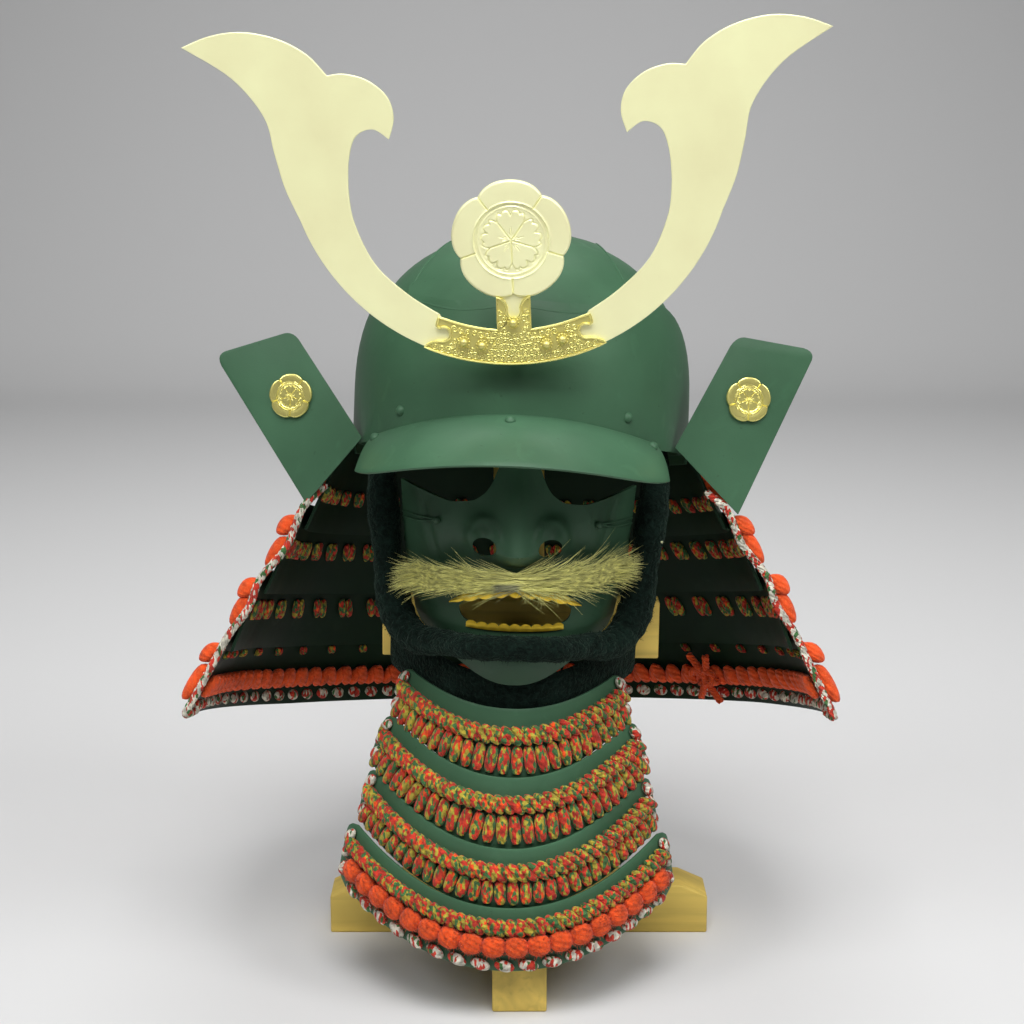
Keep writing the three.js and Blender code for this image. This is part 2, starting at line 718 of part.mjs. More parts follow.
function neckLacing(row) {
  const { top, low } = NECK_LACING[row];
  const reach = (s) => clamp(s, -LACE_REACH, LACE_REACH);
  return lacingRow(NECK_COLUMNS, 1, (s, h, out) => neckPoint(row, reach(s), lerp(top, low, h), out));
}

function rimRow() {
  const { top, low, thickness } = RIM_ROW;
  return bent(NECK_COLUMNS, 2, (s, h, t) => {
    const swell = 1 - 0.35 * Math.abs(2 * h - 1) ** 2;
    return neckPoint(3, s, lerp(top, low, h), -NECK_LAME - LACE_GAP - t * thickness * swell);
  });
}

// The cord that binds the lames' front edges on one side.
function edgeCord(side) {
  const { radius, ahead, heights } = EDGE_CORD;
  const outermost = (z) => NECK_LAMES.findLastIndex(({ top }) => top.z >= z);
  const points = heights.map((z) => neckPoint(outermost(z), side, z, 0).add(vec(0, -ahead, 0)));
  return cordAlong(points, radius, 12, 6);
}

// The orange tie on the inner side of the lowest lame: a knot, two loops and two tails.
function rimBow() {
  const inside = -NECK_LAME - LACE_GAP - RIM_ROW.thickness - RIM_BOW.radius - 5 * GAP;
  const strand = (rows) => {
    const points = rows.map(([across, up]) => neckPoint(3, RIM_BOW.s + across / 250, RIM_BOW.z + up, inside));
    return cordAlong(points, RIM_BOW.radius, 3, 5);
  };
  return joined([
    strand([[-6, 17], [-2, 8], [0, 0], [-6, -14]]),
    strand([[5, 16], [3, 8], [0, 0], [5, -17]]),
    strand([[-8, 3], [0, 1], [8, -2]]),
  ]);
}

function neckPieces() {
  const lames = NECK_LAMES.map((_, row) => piece(`neck_lame_${row + 1}`, neckLame(row), LACQUER));
  const lacing = NECK_LACING.map((_, row) => piece(`neck_lacing_${row + 1}`, neckLacing(row), ORANGE_CORD));
  return [
    ...lames,
    ...lacing,
    piece("neck_rim_row", rimRow(), ORANGE_CORD),
    piece("neck_edge_cord_left", edgeCord(-1), EDGE_BRAID),
    piece("neck_edge_cord_right", edgeCord(1), EDGE_BRAID),
    piece("neck_rim_bow", rimBow(), ORANGE_CORD),
  ];
}

// ---- The face guard --------------------------------------------------------------------------------

const maskHalf = (z) => lookUp(MASK_WIDTH, "z", "half", z);

// How far forward the face guard's outer face lies, by place across and height.
function maskY(x, z) {
  const side = Math.abs(x);
  const wrap = Math.min(side / maskHalf(z), 1.02) ** MASK.sidePower;
  const front = -109 - 4 * hill(z + 45, 22) - 3 * hill(z - 50, 20);
  const along = clamp((78 - z) / 58, 0, 1);
  const bridge = lerp(9, 27, along ** 1.3) * clamp((z - 8) / 12, 0, 1) ** 0.6;
  const nose = bridge * hill(side, lerp(10, 16, along));
  const wings = 11 * hill(side - 22, 9) * hill(z - 27, 11);
  const cheeks = 5 * hill(side - 47, 16) * hill(z - 28, 18);
  const furrow = -3 * hill(side - 38, 7) * hill(z - 4, 20);
  const lips = 4 * hill(side, 32) * hill(z + 15, 17);
  const chin = 5 * hill(side, 20) * hill(z + 52, 12);
  return lerp(front, MASK.sideY, wrap) - nose - wings - cheeks - furrow - lips - chin;
}

function maskPoint(s, h) {
  const top = lookUp(MASK_TOP, "x", "z", 74 * Math.abs(s));
  const low = CHIN.z + CHIN.rise * Math.abs(s) ** CHIN.power;
  const z = lerp(top, low, h);
  const x = s * maskHalf(z);
  return vec(x, maskY(x, z), z);
}

function mouthShape() {
  const { half, corner, top, floor, floorHalf } = MOUTH;
  const shape = new THREE.Shape();
  shape.moveTo(-half, corner);
  shape.quadraticCurveTo(-24, top, 0, top - 1);
  shape.quadraticCurveTo(24, top, half, corner);
  shape.quadraticCurveTo(half, floor, floorHalf - 4, floor);
  shape.lineTo(4 - floorHalf, floor);
  shape.quadraticCurveTo(-half, floor, -half, corner);
  return shape;
}

function maskSolid() {
  const wall = shell(MASK.columns, MASK.rows, MASK.thickness, vec(0, -1, 0), maskPoint);
  const nostril = new THREE.Shape();
  nostril.absellipse(NOSTRIL.x, NOSTRIL.z, NOSTRIL.across, NOSTRIL.high, 0, 2 * Math.PI, false, 0);
  const hole = plateXZ(nostril, -170, 100, 6);
  return wall.subtract(plateXZ(mouthShape(), -170, 100, 6)).subtract(hole).subtract(mirrorX(hole));
}

// A strip of gilded teeth lying on the mask, one edge scalloped.
function upperTeeth() {
  const { thickness, upperHalf, upperCount } = TEETH;
  return bent(2 * upperCount, 1, (s, h, t) => {
    const x = upperHalf * s;
    const tooth = Math.abs(Math.sin((Math.PI * upperCount * (s + 1)) / 2));
    const top = -1 - 16 * Math.abs(s) ** 2.4;
    const low = top - 0.6 - (5.5 + 1.6 * tooth) * (1 - s ** 4);
    const z = lerp(top, low, h);
    return vec(x, maskY(x, z) - TEETH.stand - thickness * (1 - t), z);
  });
}

function lowerTeeth() {
  const { thickness, lowerHalf, lowerCount } = TEETH;
  return bent(2 * lowerCount, 1, (s, h, t) => {
    const x = lowerHalf * s;
    const tooth = Math.abs(Math.sin((Math.PI * lowerCount * (s + 1)) / 2));
    const z = lerp(-25.5 + 2 * tooth, -31, h);
    return vec(x, maskY(x, -30) - TEETH.stand - thickness * (1 - t), z);
  });
}

// One half of the moustache: tapering locks that fan out from the middle of the lip.
function moustacheHalf() {
  const { reach, locks, radius, stand, fan } = MOUSTACHE;
  const solids = [];
  for (let i = 0; i < locks; i += 1) {
    const spread = (2 * i) / (locks - 1) - 1;
    const length = reach * (1 - 0.18 * Math.abs(spread) - 0.05 * (i % 2));
    const lock = new THREE.CylinderGeometry(1, 1, 1, 6, 3);
    const spots = lock.getAttribute("position");
    for (let k = 0; k < spots.count; k += 1) {
      const way = spots.getY(k) + 0.5;
      const x = 1 + length * way;
      const z = MOUSTACHE.z + spread * (MOUSTACHE.spread + fan * way) + 2 * way ** 2;
      const thick = radius * (0.75 + 0.6 * Math.sin(Math.PI * Math.min(way + 0.15, 1))) * (1 - 0.75 * way ** 3);
      const face = maskY(Math.min(x, 62), 6) - stand + 0.35 * Math.max(0, x - 62);
      spots.setXYZ(k, x, face + thick * spots.getX(k), z + thick * spots.getZ(k));
    }
    solids.push(solidOf(lock));
  }
  return joined(solids);
}

// The velvet cord: down both cheeks, across under the mouth, and round the back inside the bowl.
function chinCord() {
  const half = [
    [0, maskY(0, -39) - 9.6, -39],
    [24, maskY(24, -40) - 12, -40],
    [44, maskY(44, -43) - 13.5, -43],
    [58, -88, -45.5],
    [68, -78, -41],
    [75, -71, -30],
    [79, -66, -13],
    [82, -62, 9],
    [85, -57, 34],
    [87, -44, 58],
    [86, -18, 72],
    [80, 24, 72],
    [58, 66, 64],
    [30, 88, 58],
    [0, 95, 56],
  ];
  const back = half.slice(1, -1).reverse();
  const loop = [...half, ...back.map(([x, y, z]) => [-x, y, z])];
  const path = new THREE.CatmullRomCurve3(loop.map((p) => vec(...p)), true);
  const steps = 36;
  const frames = path.computeFrenetFrames(steps, true);
  const ring = new THREE.TorusGeometry(1, 0.3, 6, steps);
  const spots = ring.getAttribute("position");
  const uv = ring.getAttribute("uv");
  for (let i = 0; i < spots.count; i += 1) {
    const stop = Math.round(uv.getX(i) * steps) % steps;
    const angle = 2 * Math.PI * uv.getY(i);
    const p = path.getPointAt(stop / steps);
    p.addScaledVector(frames.normals[stop], CHIN_CORD * Math.cos(angle));
    p.addScaledVector(frames.binormals[stop], CHIN_CORD * Math.sin(angle));
    spots.setXYZ(i, p.x, p.y, p.z);
  }
  return solidOf(ring);
}

// ---- The throat guard ------------------------------------------------------------------------------

// A point of a curved band: s across, h down it, and out from its outer face.
function bandPoint(top, low, s, h, out) {
  const half = lerp(top.half, low.half, h);
  const y = lerp(top.y, low.y, h);
  const depth = lerp(top.endY, low.endY, h) - y;
  const rise = lerp(top.rise, low.rise, h);
  const power = 2.2;
  const slope = power * depth * Math.abs(s) ** (power - 1) * Math.sign(s);
  const across = vec(slope, -half, 0).normalize();
  const p = vec(half * s, y + depth * Math.abs(s) ** power, lerp(top.z, low.z, h) + rise * s ** 2);
  return p.addScaledVector(across, out);
}

const throatPoint = (row, s, h, out) => bandPoint(THROAT_LAMES[row].top, THROAT_LAMES[row].low, s, h, out);

function throatPieces() {
  const lames = THROAT_LAMES.map((_, row) => {
    const plate = bent(THROAT_COLUMNS, 1, (s, h, t) => throatPoint(row, s, h, -THROAT_LAME * t));
    return piece(`throat_lame_${row + 1}`, plate, LACQUER);
  });
  const lacing = THROAT_LACING.map(({ top, low }, row) => {
    const at = (s, h, out) => throatPoint(row, THROAT_REACH * s, lerp(top, low, h), out);
    const material = row < 3 ? BRAID : ORANGE_CORD;
    return piece(`throat_lacing_${row + 1}`, lacingRow(THROAT_COLUMNS, 0.85, at), material);
  });
  const { thickness, topZ, topRise, lowZ, lowRise, half, y, endY } = BACKING;
  const top = { z: topZ, half, y, endY, rise: topRise };
  const low = { z: lowZ, half, y, endY, rise: lowRise };
  const backing = bent(THROAT_COLUMNS, 1, (s, h, t) => bandPoint(top, low, s, h, -thickness * t));
  return [...lames, ...lacing, piece("throat_backing", backing, VELVET)];
}

// ---- The stand -------------------------------------------------------------------------------------

function standPieces() {
  const halfTimber = TIMBER / 2;
  const halfLap = halfTimber + GAP;
  const ends = new THREE.Shape();
  const { half, chamfer } = CROSS;
  ends.moveTo(-half, 0);
  ends.lineTo(half, 0);
  ends.lineTo(half, TIMBER - 8);
  ends.lineTo(half - chamfer, TIMBER);
  ends.lineTo(chamfer - half, TIMBER);
  ends.lineTo(-half, TIMBER - 8);
  const cross = plateXZ(ends, -halfTimber, TIMBER).subtract(
    block([-halfLap, -halfTimber - 1, -1], [halfLap, halfTimber + 1, halfTimber]),
  );
  const long = block([-halfTimber, -LONG.half, 0], [halfTimber, LONG.half, TIMBER]).subtract(
    block([-halfTimber - 1, -halfLap, halfTimber - GAP], [halfTimber + 1, halfLap, TIMBER + 1]),
  );
  const post = block([-POST.half, -POST.half, TIMBER + GAP], [POST.half, POST.half, POST.top]);
  const boardFront = -POST.half - GAP - BOARD.thickness;
  const halfBoard = BOARD.height / 2;
  const board = piece(
    "stand_shoulder_board",
    block([-BOARD.half, boardFront, -halfBoard], [BOARD.half, -POST.half - GAP, halfBoard]),
    PINE,
  );
  board.position.set(BOARD.x, 0, BOARD.z);
  board.rotation.y = degToRad(BOARD.roll);
  const arm = block([-ARM.half, ARM.frontY, ARM.low], [ARM.half, boardFront - GAP, ARM.top]);
  const dome = turned(
    [
      { r: 0, z: BLOCK.base },
      { r: BLOCK.radius, z: BLOCK.base },
      { r: BLOCK.radius, z: BLOCK.edge },
      { r: 0.75 * BLOCK.radius, z: lerp(BLOCK.edge, BLOCK.crown, 0.62) },
      { r: 0, z: BLOCK.crown },
    ],
    24,
  );
  return [
    piece("stand_cross_beam", cross, PINE),
    piece("stand_long_beam", long, PINE),
    piece("stand_post", post, PINE),
    board,
    piece("stand_mask_arm", arm, PINE),
    piece("stand_head_block", solidOf(dome), PINE),
  ];
}

// ---- The assembly ----------------------------------------------------------------------------------

// A group at a place, leaned about X, then rolled about Y, then turned about Z.
function placed(at, lean, roll, yaw) {
  const group = new THREE.Group();
  group.position.set(...at);
  group.rotation.set(degToRad(lean), degToRad(roll), degToRad(yaw), "ZXY");
  return group;
}

const helmet = placed(HELMET.at, HELMET.pitch, HELMET.roll, HELMET.yaw);
helmet.add(...bowlPieces(), ...peakPieces(), ...frontRivets(), ...wingPieces(), ...neckPieces());

const face = placed(FACE.at, 0, FACE.roll, 0);
const moustache = moustacheHalf();
face.add(
  piece("mask", maskSolid(), LACQUER),
  piece("upper_teeth", upperTeeth(), GOLD),
  piece("lower_teeth", lowerTeeth(), GOLD),
  piece("moustache_left", mirrorX(moustache), HAIR),
  piece("moustache_right", moustache, HAIR),
  piece("chin_cord", chinCord(), VELVET),
  ...throatPieces(),
);

const kabuto = new THREE.Group();
kabuto.add(helmet, face, crestPieces(), ...standPieces());

export default kabuto;
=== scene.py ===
import random
from math import asin, atan2, cos, exp, pi, radians, sin, sqrt

import bpy
from mathutils import Matrix, Vector


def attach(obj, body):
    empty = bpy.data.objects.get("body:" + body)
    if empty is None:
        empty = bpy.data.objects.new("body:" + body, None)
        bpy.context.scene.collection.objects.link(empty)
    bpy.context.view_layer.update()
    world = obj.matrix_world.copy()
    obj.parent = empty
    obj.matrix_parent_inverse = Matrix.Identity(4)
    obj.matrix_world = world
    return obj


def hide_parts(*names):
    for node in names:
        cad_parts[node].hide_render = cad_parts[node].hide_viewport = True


bl_info = {
    "name": "Kabuto on its stand",
    "version": (1, 0, 0),
    "blender": (4, 5, 0),
    "location": "3D View > Sidebar > Kabuto",
    "description": "Dresses a samurai helmet with its face guard, throat guard and wooden stand",
    "category": "Add Mesh",
}

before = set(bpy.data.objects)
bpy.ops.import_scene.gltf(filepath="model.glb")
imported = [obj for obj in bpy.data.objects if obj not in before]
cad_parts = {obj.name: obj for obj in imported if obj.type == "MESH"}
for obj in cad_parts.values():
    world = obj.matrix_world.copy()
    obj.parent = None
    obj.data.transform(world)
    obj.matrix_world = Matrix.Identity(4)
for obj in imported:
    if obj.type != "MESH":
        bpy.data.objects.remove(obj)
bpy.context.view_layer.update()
MM = 0.001


def placed(at, lean=0.0, roll=0.0, yaw=0.0):
    """The place of a group: millimetres to metres, leaned about X, rolled about Y, turned about Z."""
    turn = Matrix.Rotation(radians(yaw), 4, "Z") @ Matrix.Rotation(radians(lean), 4, "X")
    return Matrix.Scale(MM, 4) @ Matrix.Translation(at) @ turn @ Matrix.Rotation(radians(roll), 4, "Y")


# The groups stand where the solids' groups do.
HELMET = placed((2, 5, 371), -12, 1.3, -3)
CREST = placed((-2.4, -128, 405.8), 5, -1.8, -3)
FACE = placed((-2, 0, 270), 0, 1.8)

# ---- Sizes shared with the solids, in millimetres ----

GAP = 0.3
PLATE = 1.6
LAYER = PLATE + GAP
BOWL = {"half": 105.5, "long": 119.5, "y": 3, "waist": -5, "height": 104, "base": -40, "power": 2.35}
BROW = {"z": -23, "drop": 13.5, "half": 88.5}
STRIP = {"half": 46, "widest": 80, "from": -10, "flare": 0.006}
FRONT_EDGE = {"y": -110, "sweep": 90, "at": 100, "power": 2.6}
BAND = {"top": -24, "bottom": -46}
TUCK = 14
WHOLE_HEIGHT = (-80, 130)
RIVETS = {"front_rivet_left": -69.5, "front_rivet_right": 69.5}
RIVET_Z = -21.5
PEAK_RIVETS = {"left": (-0.93, 0.2), "centre": (0, 0.18), "right": (0.93, 0.2)}
PEAK = {"thick": 1.8, "reach": 168, "side_y": -78, "half": 98, "brow": 53.6, "rim": 83, "arch": 3}
PEAK_RIM = {"z": -54.6, "drop": 9, "lift": 5}

HORN = {"thick": 1.6, "radius": 128.7, "height": 19.8, "tongue": 11}
HOLDER = {"half": 53, "top": 43, "stem": 9.7, "stem_top": 39.6, "notch": 4.3}
DISC = {"z": 72.5, "radius": 35, "thick": 1.6}
STUDS = [(-29.7, 14), (-19.2, 11.7), (-0.5, 24.7), (18.5, 11.5), (28, 14.4)]

WING = {"thick": 1.8, "y": -56, "from": 98, "sweep": 0.15, "corner": 9}
WINGS = {
    "left": {
        "side": -1,
        "inner_low": (97, -37.5),
        "outer_low": (132, -80),
        "outer_top": (195, 14),
        "inner_top": (143.5, 29),
        "badge": (144, -12.5),
    },
    "right": {
        "side": 1,
        "inner_low": (99.5, -37.5),
        "outer_low": (140.5, -78),
        "outer_top": (187, 26),
        "inner_top": (136.5, 34.5),
        "badge": (144.5, -6),
    },
}
BADGE = {"radius": 14.3, "thick": 1.6}

NECK_MIDDLE = 10
NECK_TURN = 7 / 9
NECK_TILT = {"slope": 0.04, "y": -50}
NECK_SAG = {"depth": 7, "at": 170, "from": -50, "over": 50}
NECK_LAME = 2
NECK_LAMES = [
    {"front": -42, "pull": 0.04, "top": (-37, 113, 121), "low": (-91, 139, 142)},
    {"front": -47.5, "pull": 0.02, "top": (-76, 136, 139.5), "low": (-131, 161, 162)},
    {"front": -50, "pull": 0.015, "top": (-116, 160.5, 161.5), "low": (-168, 180, 182)},
    {"front": -50, "pull": 0.01, "top": (-153, 178.5, 180.5), "low": (-210, 208, 205)},
]
NECK_LACING = [(-46, -73), (-83, -114), (-122, -151), (-162, -200)]
RIM_ROW = {"top": -184, "low": -199}
RIM_TIE = {"s": 0.39, "z": -194}
EDGE_CORD = {"radius": 2.7, "twist": 11, "in": 1.2, "before": 2.4}
EDGE_CORD_HEIGHTS = [-66, -78, -90, -104, -122, -140, -158, -176, -194, -208]

MASK = {"thick": 2.2, "side_y": -60, "power": 2.6}
MASK_FORMS = {
    "nostril_wings": {"proud": 11, "x": 22, "wide": 9, "z": 27, "tall": 11},
    "cheeks": {"proud": 5, "x": 47, "wide": 16, "z": 28, "tall": 18},
    "furrows": {"proud": -3, "x": 38, "wide": 7, "z": 4, "tall": 20},
    "lips": {"proud": 4, "x": 0, "wide": 32, "z": -15, "tall": 17},
    "chin": {"proud": 5, "x": 0, "wide": 20, "z": -52, "tall": 12},
}
MASK_WIDTH = [(75, 73), (51, 74), (8, 70.6), (-32, 63), (-50, 55), (-68, 44)]
MASK_TOP = [(0, 78), (11, 77), (14, 66), (18, 56), (27, 48.5), (41, 46.3), (55, 48.6), (76, 52)]
CHIN = {"z": -66, "rise": 26, "power": 2.2}
NOSTRIL = {"x": 20, "z": 22.3, "across": 7.2, "high": 6.6}
MOUTH = {"half": 34.5, "corner": -19, "top": -4, "floor": -28, "floor_half": 28}
MOUSTACHE = {"reach": 77, "stand": 16.3, "z": 3.1, "root": -5, "roots": 64, "thin": 4.6, "thick": 5.2}

THROAT_LAME = 2
THROAT_LAMES = [
    ({"z": -82, "half": 69, "y": -109, "end": -60, "rise": 12},
     {"z": -124, "half": 77, "y": -119, "end": -62, "rise": 24}),
    ({"z": -121.7, "half": 79, "y": -124, "end": -66, "rise": 23},
     {"z": -166, "half": 91, "y": -131, "end": -67, "rise": 34}),
    ({"z": -163.5, "half": 89, "y": -136, "end": -74, "rise": 31.5},
     {"z": -201, "half": 97.5, "y": -140, "end": -74, "rise": 33}),
    ({"z": -198.5, "half": 101.6, "y": -145, "end": -79, "rise": 32.5},
     {"z": -237, "half": 109, "y": -151, "end": -81, "rise": 30}),
]
THROAT_LACING = [(0.22, 0.93), (0.2, 0.91), (0.22, 0.91), (0.2, 0.8)]
BACKING = (
    {"z": -63, "half": 79.5, "y": -104.5, "end": -38, "rise": 19},
    {"z": -90, "half": 79.5, "y": -104.5, "end": -38, "rise": 13},
)
CHIN_CORD = 8


def lerp(a, b, t):
    return a + (b - a) * t


def clamp(value, low, high):
    return max(low, min(high, value))


def hill(distance, width):
    return exp(-((distance / width) ** 2))


def step(value, start, over):
    """0 below a start, 1 when the value is past it by more than a stretch, and straight between."""
    return clamp((value - start) / over, 0, 1)


def look_up(table, at):
    """A table's second column at a value of its first, straight between rows."""
    rows = sorted(table)
    if at <= rows[0][0]:
        return rows[0][1]
    for (a, first), (b, second) in zip(rows, rows[1:]):
        if at <= b:
            return lerp(first, second, (at - a) / (b - a))
    return rows[-1][1]


# ---- Settings ----


def colour(name, description, default):
    return bpy.props.FloatVectorProperty(
        name=name, description=description, default=default, size=3, min=0, max=1, subtype="COLOR"
    )


def length(name, description, default):
    return bpy.props.FloatProperty(
        name=name, description=description, default=default, min=0, unit="LENGTH", precision=4
    )


def count(name, description, default):
    return bpy.props.IntProperty(name=name, description=description, default=default, min=1)


class KabutoMetal(bpy.types.PropertyGroup):
    lacquer: colour("Lacquer", "Dark green lacquer on the iron plates", (0.052, 0.132, 0.07))
    pale_gold: colour("Pale gold", "Gilding of the horns, the disc and the hooks", (1.0, 0.97, 0.56))
    gold: colour("Gold", "Gilding of the holder, studs and badges", (0.95, 0.86, 0.28))
    deep_gold: colour("Deep gold", "Gilding of the teeth", (0.9, 0.62, 0.05))
    edge: length("Edge", "How far the plates' edges are eased", 0.0005)
    rivet: length("Rivet", "Radius of a rivet's head", 0.0033)


class KabutoLacing(bpy.types.PropertyGroup):
    orange: colour("Orange", "Cord of the neck guard", (0.9, 0.085, 0.006))
    red: colour("Red", "Red strands of the mottled braid", (0.6, 0.035, 0.015))
    ochre: colour("Ochre", "Ochre strands of the mottled braid", (0.46, 0.37, 0.035))
    green: colour("Green", "Green strands of the mottled braid", (0.05, 0.17, 0.045))
    white: colour("White", "White strands of the edge cord", (0.75, 0.72, 0.6))
    rope_pitch: length("Rope pitch", "From one twist of a rope row to the next", 0.0052)
    loop_pitch: length("Loop pitch", "From one hanging loop to the next", 0.0062)
    knot_pitch: length("Knot pitch", "From one rim knot to the next", 0.0138)


class KabutoHair(bpy.types.PropertyGroup):
    straw: colour("Straw", "Horsehair of the moustache", (0.74, 0.72, 0.25))
    strands: count("Strands", "Strands in each half of the moustache", 1300)
    width: length("Width", "Thickness of a strand", 0.0004)
    velvet: colour("Velvet", "Pile of the chin cord and the backing", (0.006, 0.0145, 0.0105))
    pile: count("Pile", "Tufts that stand out of the chin cord", 8500)
    pile_height: length("Pile height", "Length of a tuft", 0.001)


class KabutoStand(bpy.types.PropertyGroup):
    pine: colour("Pine", "Planed pine", (0.77, 0.56, 0.13))
    edge: length("Edge", "How far the timbers' edges are eased", 0.0012)


class KabutoStage(bpy.types.PropertyGroup):
    floor: colour("Floor", "Pale floor and backdrop", (0.7, 0.7, 0.7))
    light: bpy.props.FloatProperty(name="Light", description="Power of all lamps", default=1.0, min=0)
    distance: length("Distance", "From the camera to the middle of the piece", 1.35)
    height: bpy.props.FloatProperty(
        name="Height",
        description="Angle from which the camera looks down",
        default=radians(12),
        unit="ROTATION",
    )


# ---- Finishes ----


class Signal:
    """A socket's value, to which Python's operators add Math nodes."""

    def __init__(self, finish, socket):
        self.finish = finish
        self.socket = socket

    def _with(self, operation, first, second=0.0):
        return self.finish.add("ShaderNodeMath", {"operation": operation}, {0: first, 1: second})

    def __add__(self, other):
        return self._with("ADD", self, other)

    __radd__ = __add__

    def __sub__(self, other):
        return self._with("SUBTRACT", self, other)

    def __mul__(self, other):
        return self._with("MULTIPLY", self, other)

    __rmul__ = __mul__

    def over(self, level):
        return self._with("GREATER_THAN", self, level)


class Finish:
    """A procedural material on one Principled shader."""

    def __init__(self, name):
        self.material = bpy.data.materials.new(name)
        self.material.use_nodes = True
        self.nodes = self.material.node_tree.nodes
        self.links = self.material.node_tree.links
        self.shader = self.nodes["Principled BSDF"]
        self.place = self.add("ShaderNodeTexCoord", output="Object")
        self.along = self.add("ShaderNodeTexCoord", output="UV")

    def add(self, kind, settings=None, inputs=None, output=0):
        """A node of a type, with its settings first and then its sockets' values or links."""
        node = self.nodes.new(kind)
        for key, value in (settings or {}).items():
            if key == "stops":
                self._stops(node.color_ramp, value)
            elif key == "between":
                node.color_ramp.interpolation = value
            else:
                setattr(node, key, value)
        for key, value in (inputs or {}).items():
            self.feed(node.inputs[key], value)
        return Signal(self, node.outputs[output])

    def _stops(self, ramp, stops):
        while len(ramp.elements) < len(stops):
            ramp.elements.new(1.0)
        for element, (position, shade) in zip(ramp.elements, stops):
            element.position = position
            element.color = (*shade, 1.0)

    def feed(self, socket, value):
        if isinstance(value, Signal):
            self.links.new(value.socket, socket)
        elif socket.type == "RGBA" and len(value) == 3:
            socket.default_value = (*value, 1.0)
        else:
            socket.default_value = value

    def set(self, **values):
        """Sets or links the shader's sockets, named with underscores for spaces."""
        for key, value in values.items():
            self.feed(self.shader.inputs[key.replace("_", " ")], value)
        return self

    def stretched(self, scale):
        inputs = {"Vector": self.place, "Scale": scale}
        return self.add("ShaderNodeMapping", {"vector_type": "POINT"}, inputs)

    def noise(self, scale, detail=3.0, coordinates=None, distortion=0.0):
        place = coordinates or self.place
        inputs = {"Vector": place, "Scale": scale, "Detail": detail, "Distortion": distortion}
        return self.add("ShaderNodeTexNoise", None, inputs)

    def mix(self, factor, first, second, blend="MIX"):
        settings = {"data_type": "RGBA", "blend_type": blend}
        return self.add("ShaderNodeMix", settings, {0: factor, 6: first, 7: second}, output=2)

    def band(self, value, low, high):
        """A value's part between two levels, stretched from 0 to 1."""
        inputs = {"Value": value, "From Min": low, "From Max": high}
        return self.add("ShaderNodeMapRange", {"clamp": True}, inputs)

    def bump(self, height, depth, strength=1.0, beneath=None):
        inputs = {"Height": height, "Distance": depth, "Strength": strength}
        if beneath:
            inputs["Normal"] = beneath
        return self.add("ShaderNodeBump", None, inputs)


def shade(base, factor):
    return tuple(min(1.0, part * factor) for part in base)


def lacquer(name, base, shine=0.3):
    """Semi-matte lacquer: cloudy, rubbed in places, with a fine hammered grain."""
    finish = Finish(name)
    clouds = finish.band(finish.noise(14, 4), 0.35, 0.7)
    rubbed = finish.band(finish.noise(46, 6, distortion=1.2), 0.6, 0.78)
    tone = finish.mix(clouds, shade(base, 0.86), shade(base, 1.16))
    tone = finish.mix(rubbed * 0.3, tone, shade(base, 1.5))
    specks = finish.noise(320, 2).over(0.74)
    tone = finish.mix(specks * 0.35, tone, shade(base, 0.3))
    grain = finish.bump(finish.noise(900, 2), 0.0002, 0.25)
    dents = finish.bump(finish.noise(38, 2), 0.0012, 0.35, beneath=grain)
    finish.set(Base_Color=tone, Roughness=0.44 + clouds * 0.1 - rubbed * 0.08, Normal=dents)
    return finish.set(Metallic=0.0, Specular_IOR_Level=shine).material


def gilt(name, base, rough, metal, brushed=0.0):
    """Gilded copper, finely brushed along X where that is asked for, a little uneven."""
    finish = Finish(name)
    clouds = finish.noise(22, 3)
    tone = finish.mix(finish.band(clouds, 0.3, 0.75), shade(base, 0.93), shade(base, 1.04))
    lines = finish.noise(1.0, 2, finish.stretched((60, 60, 2600)))
    ripple = finish.bump(finish.noise(240, 2), 0.0003, 0.16)
    normal = finish.bump(lines, 0.00012, brushed, beneath=ripple) if brushed else ripple
    finish.set(Base_Color=tone, Metallic=metal, Roughness=rough + clouds * 0.08, Normal=normal)
    return finish.material


def fibres(finish, fine=900.0):
    """The bump of twisted strands on a cord: slanting ridges with loose fluff."""
    ridges = finish.add(
        "ShaderNodeTexWave",
        {"wave_type": "BANDS", "bands_direction": "DIAGONAL"},
        {"Vector": finish.along, "Scale": 3.0, "Distortion": 1.4, "Detail": 2.0},
        output="Fac",
    )
    fluff = finish.noise(fine, 3)
    return finish.bump(ridges * 0.6 + fluff * 0.8, 0.0009, 0.8)


def plain_cord(name, base):
    finish = Finish(name)
    worn = finish.band(finish.noise(130, 3), 0.3, 0.75)
    tone = finish.mix(worn, shade(base, 0.62), shade(base, 1.15))
    tone = finish.mix(finish.band(finish.noise(900, 2), 0.5, 0.8) * 0.45, tone, (0.95, 0.22, 0.05))
    return finish.set(Base_Color=tone, Roughness=0.92, Normal=fibres(finish), Sheen_Weight=0.15).material


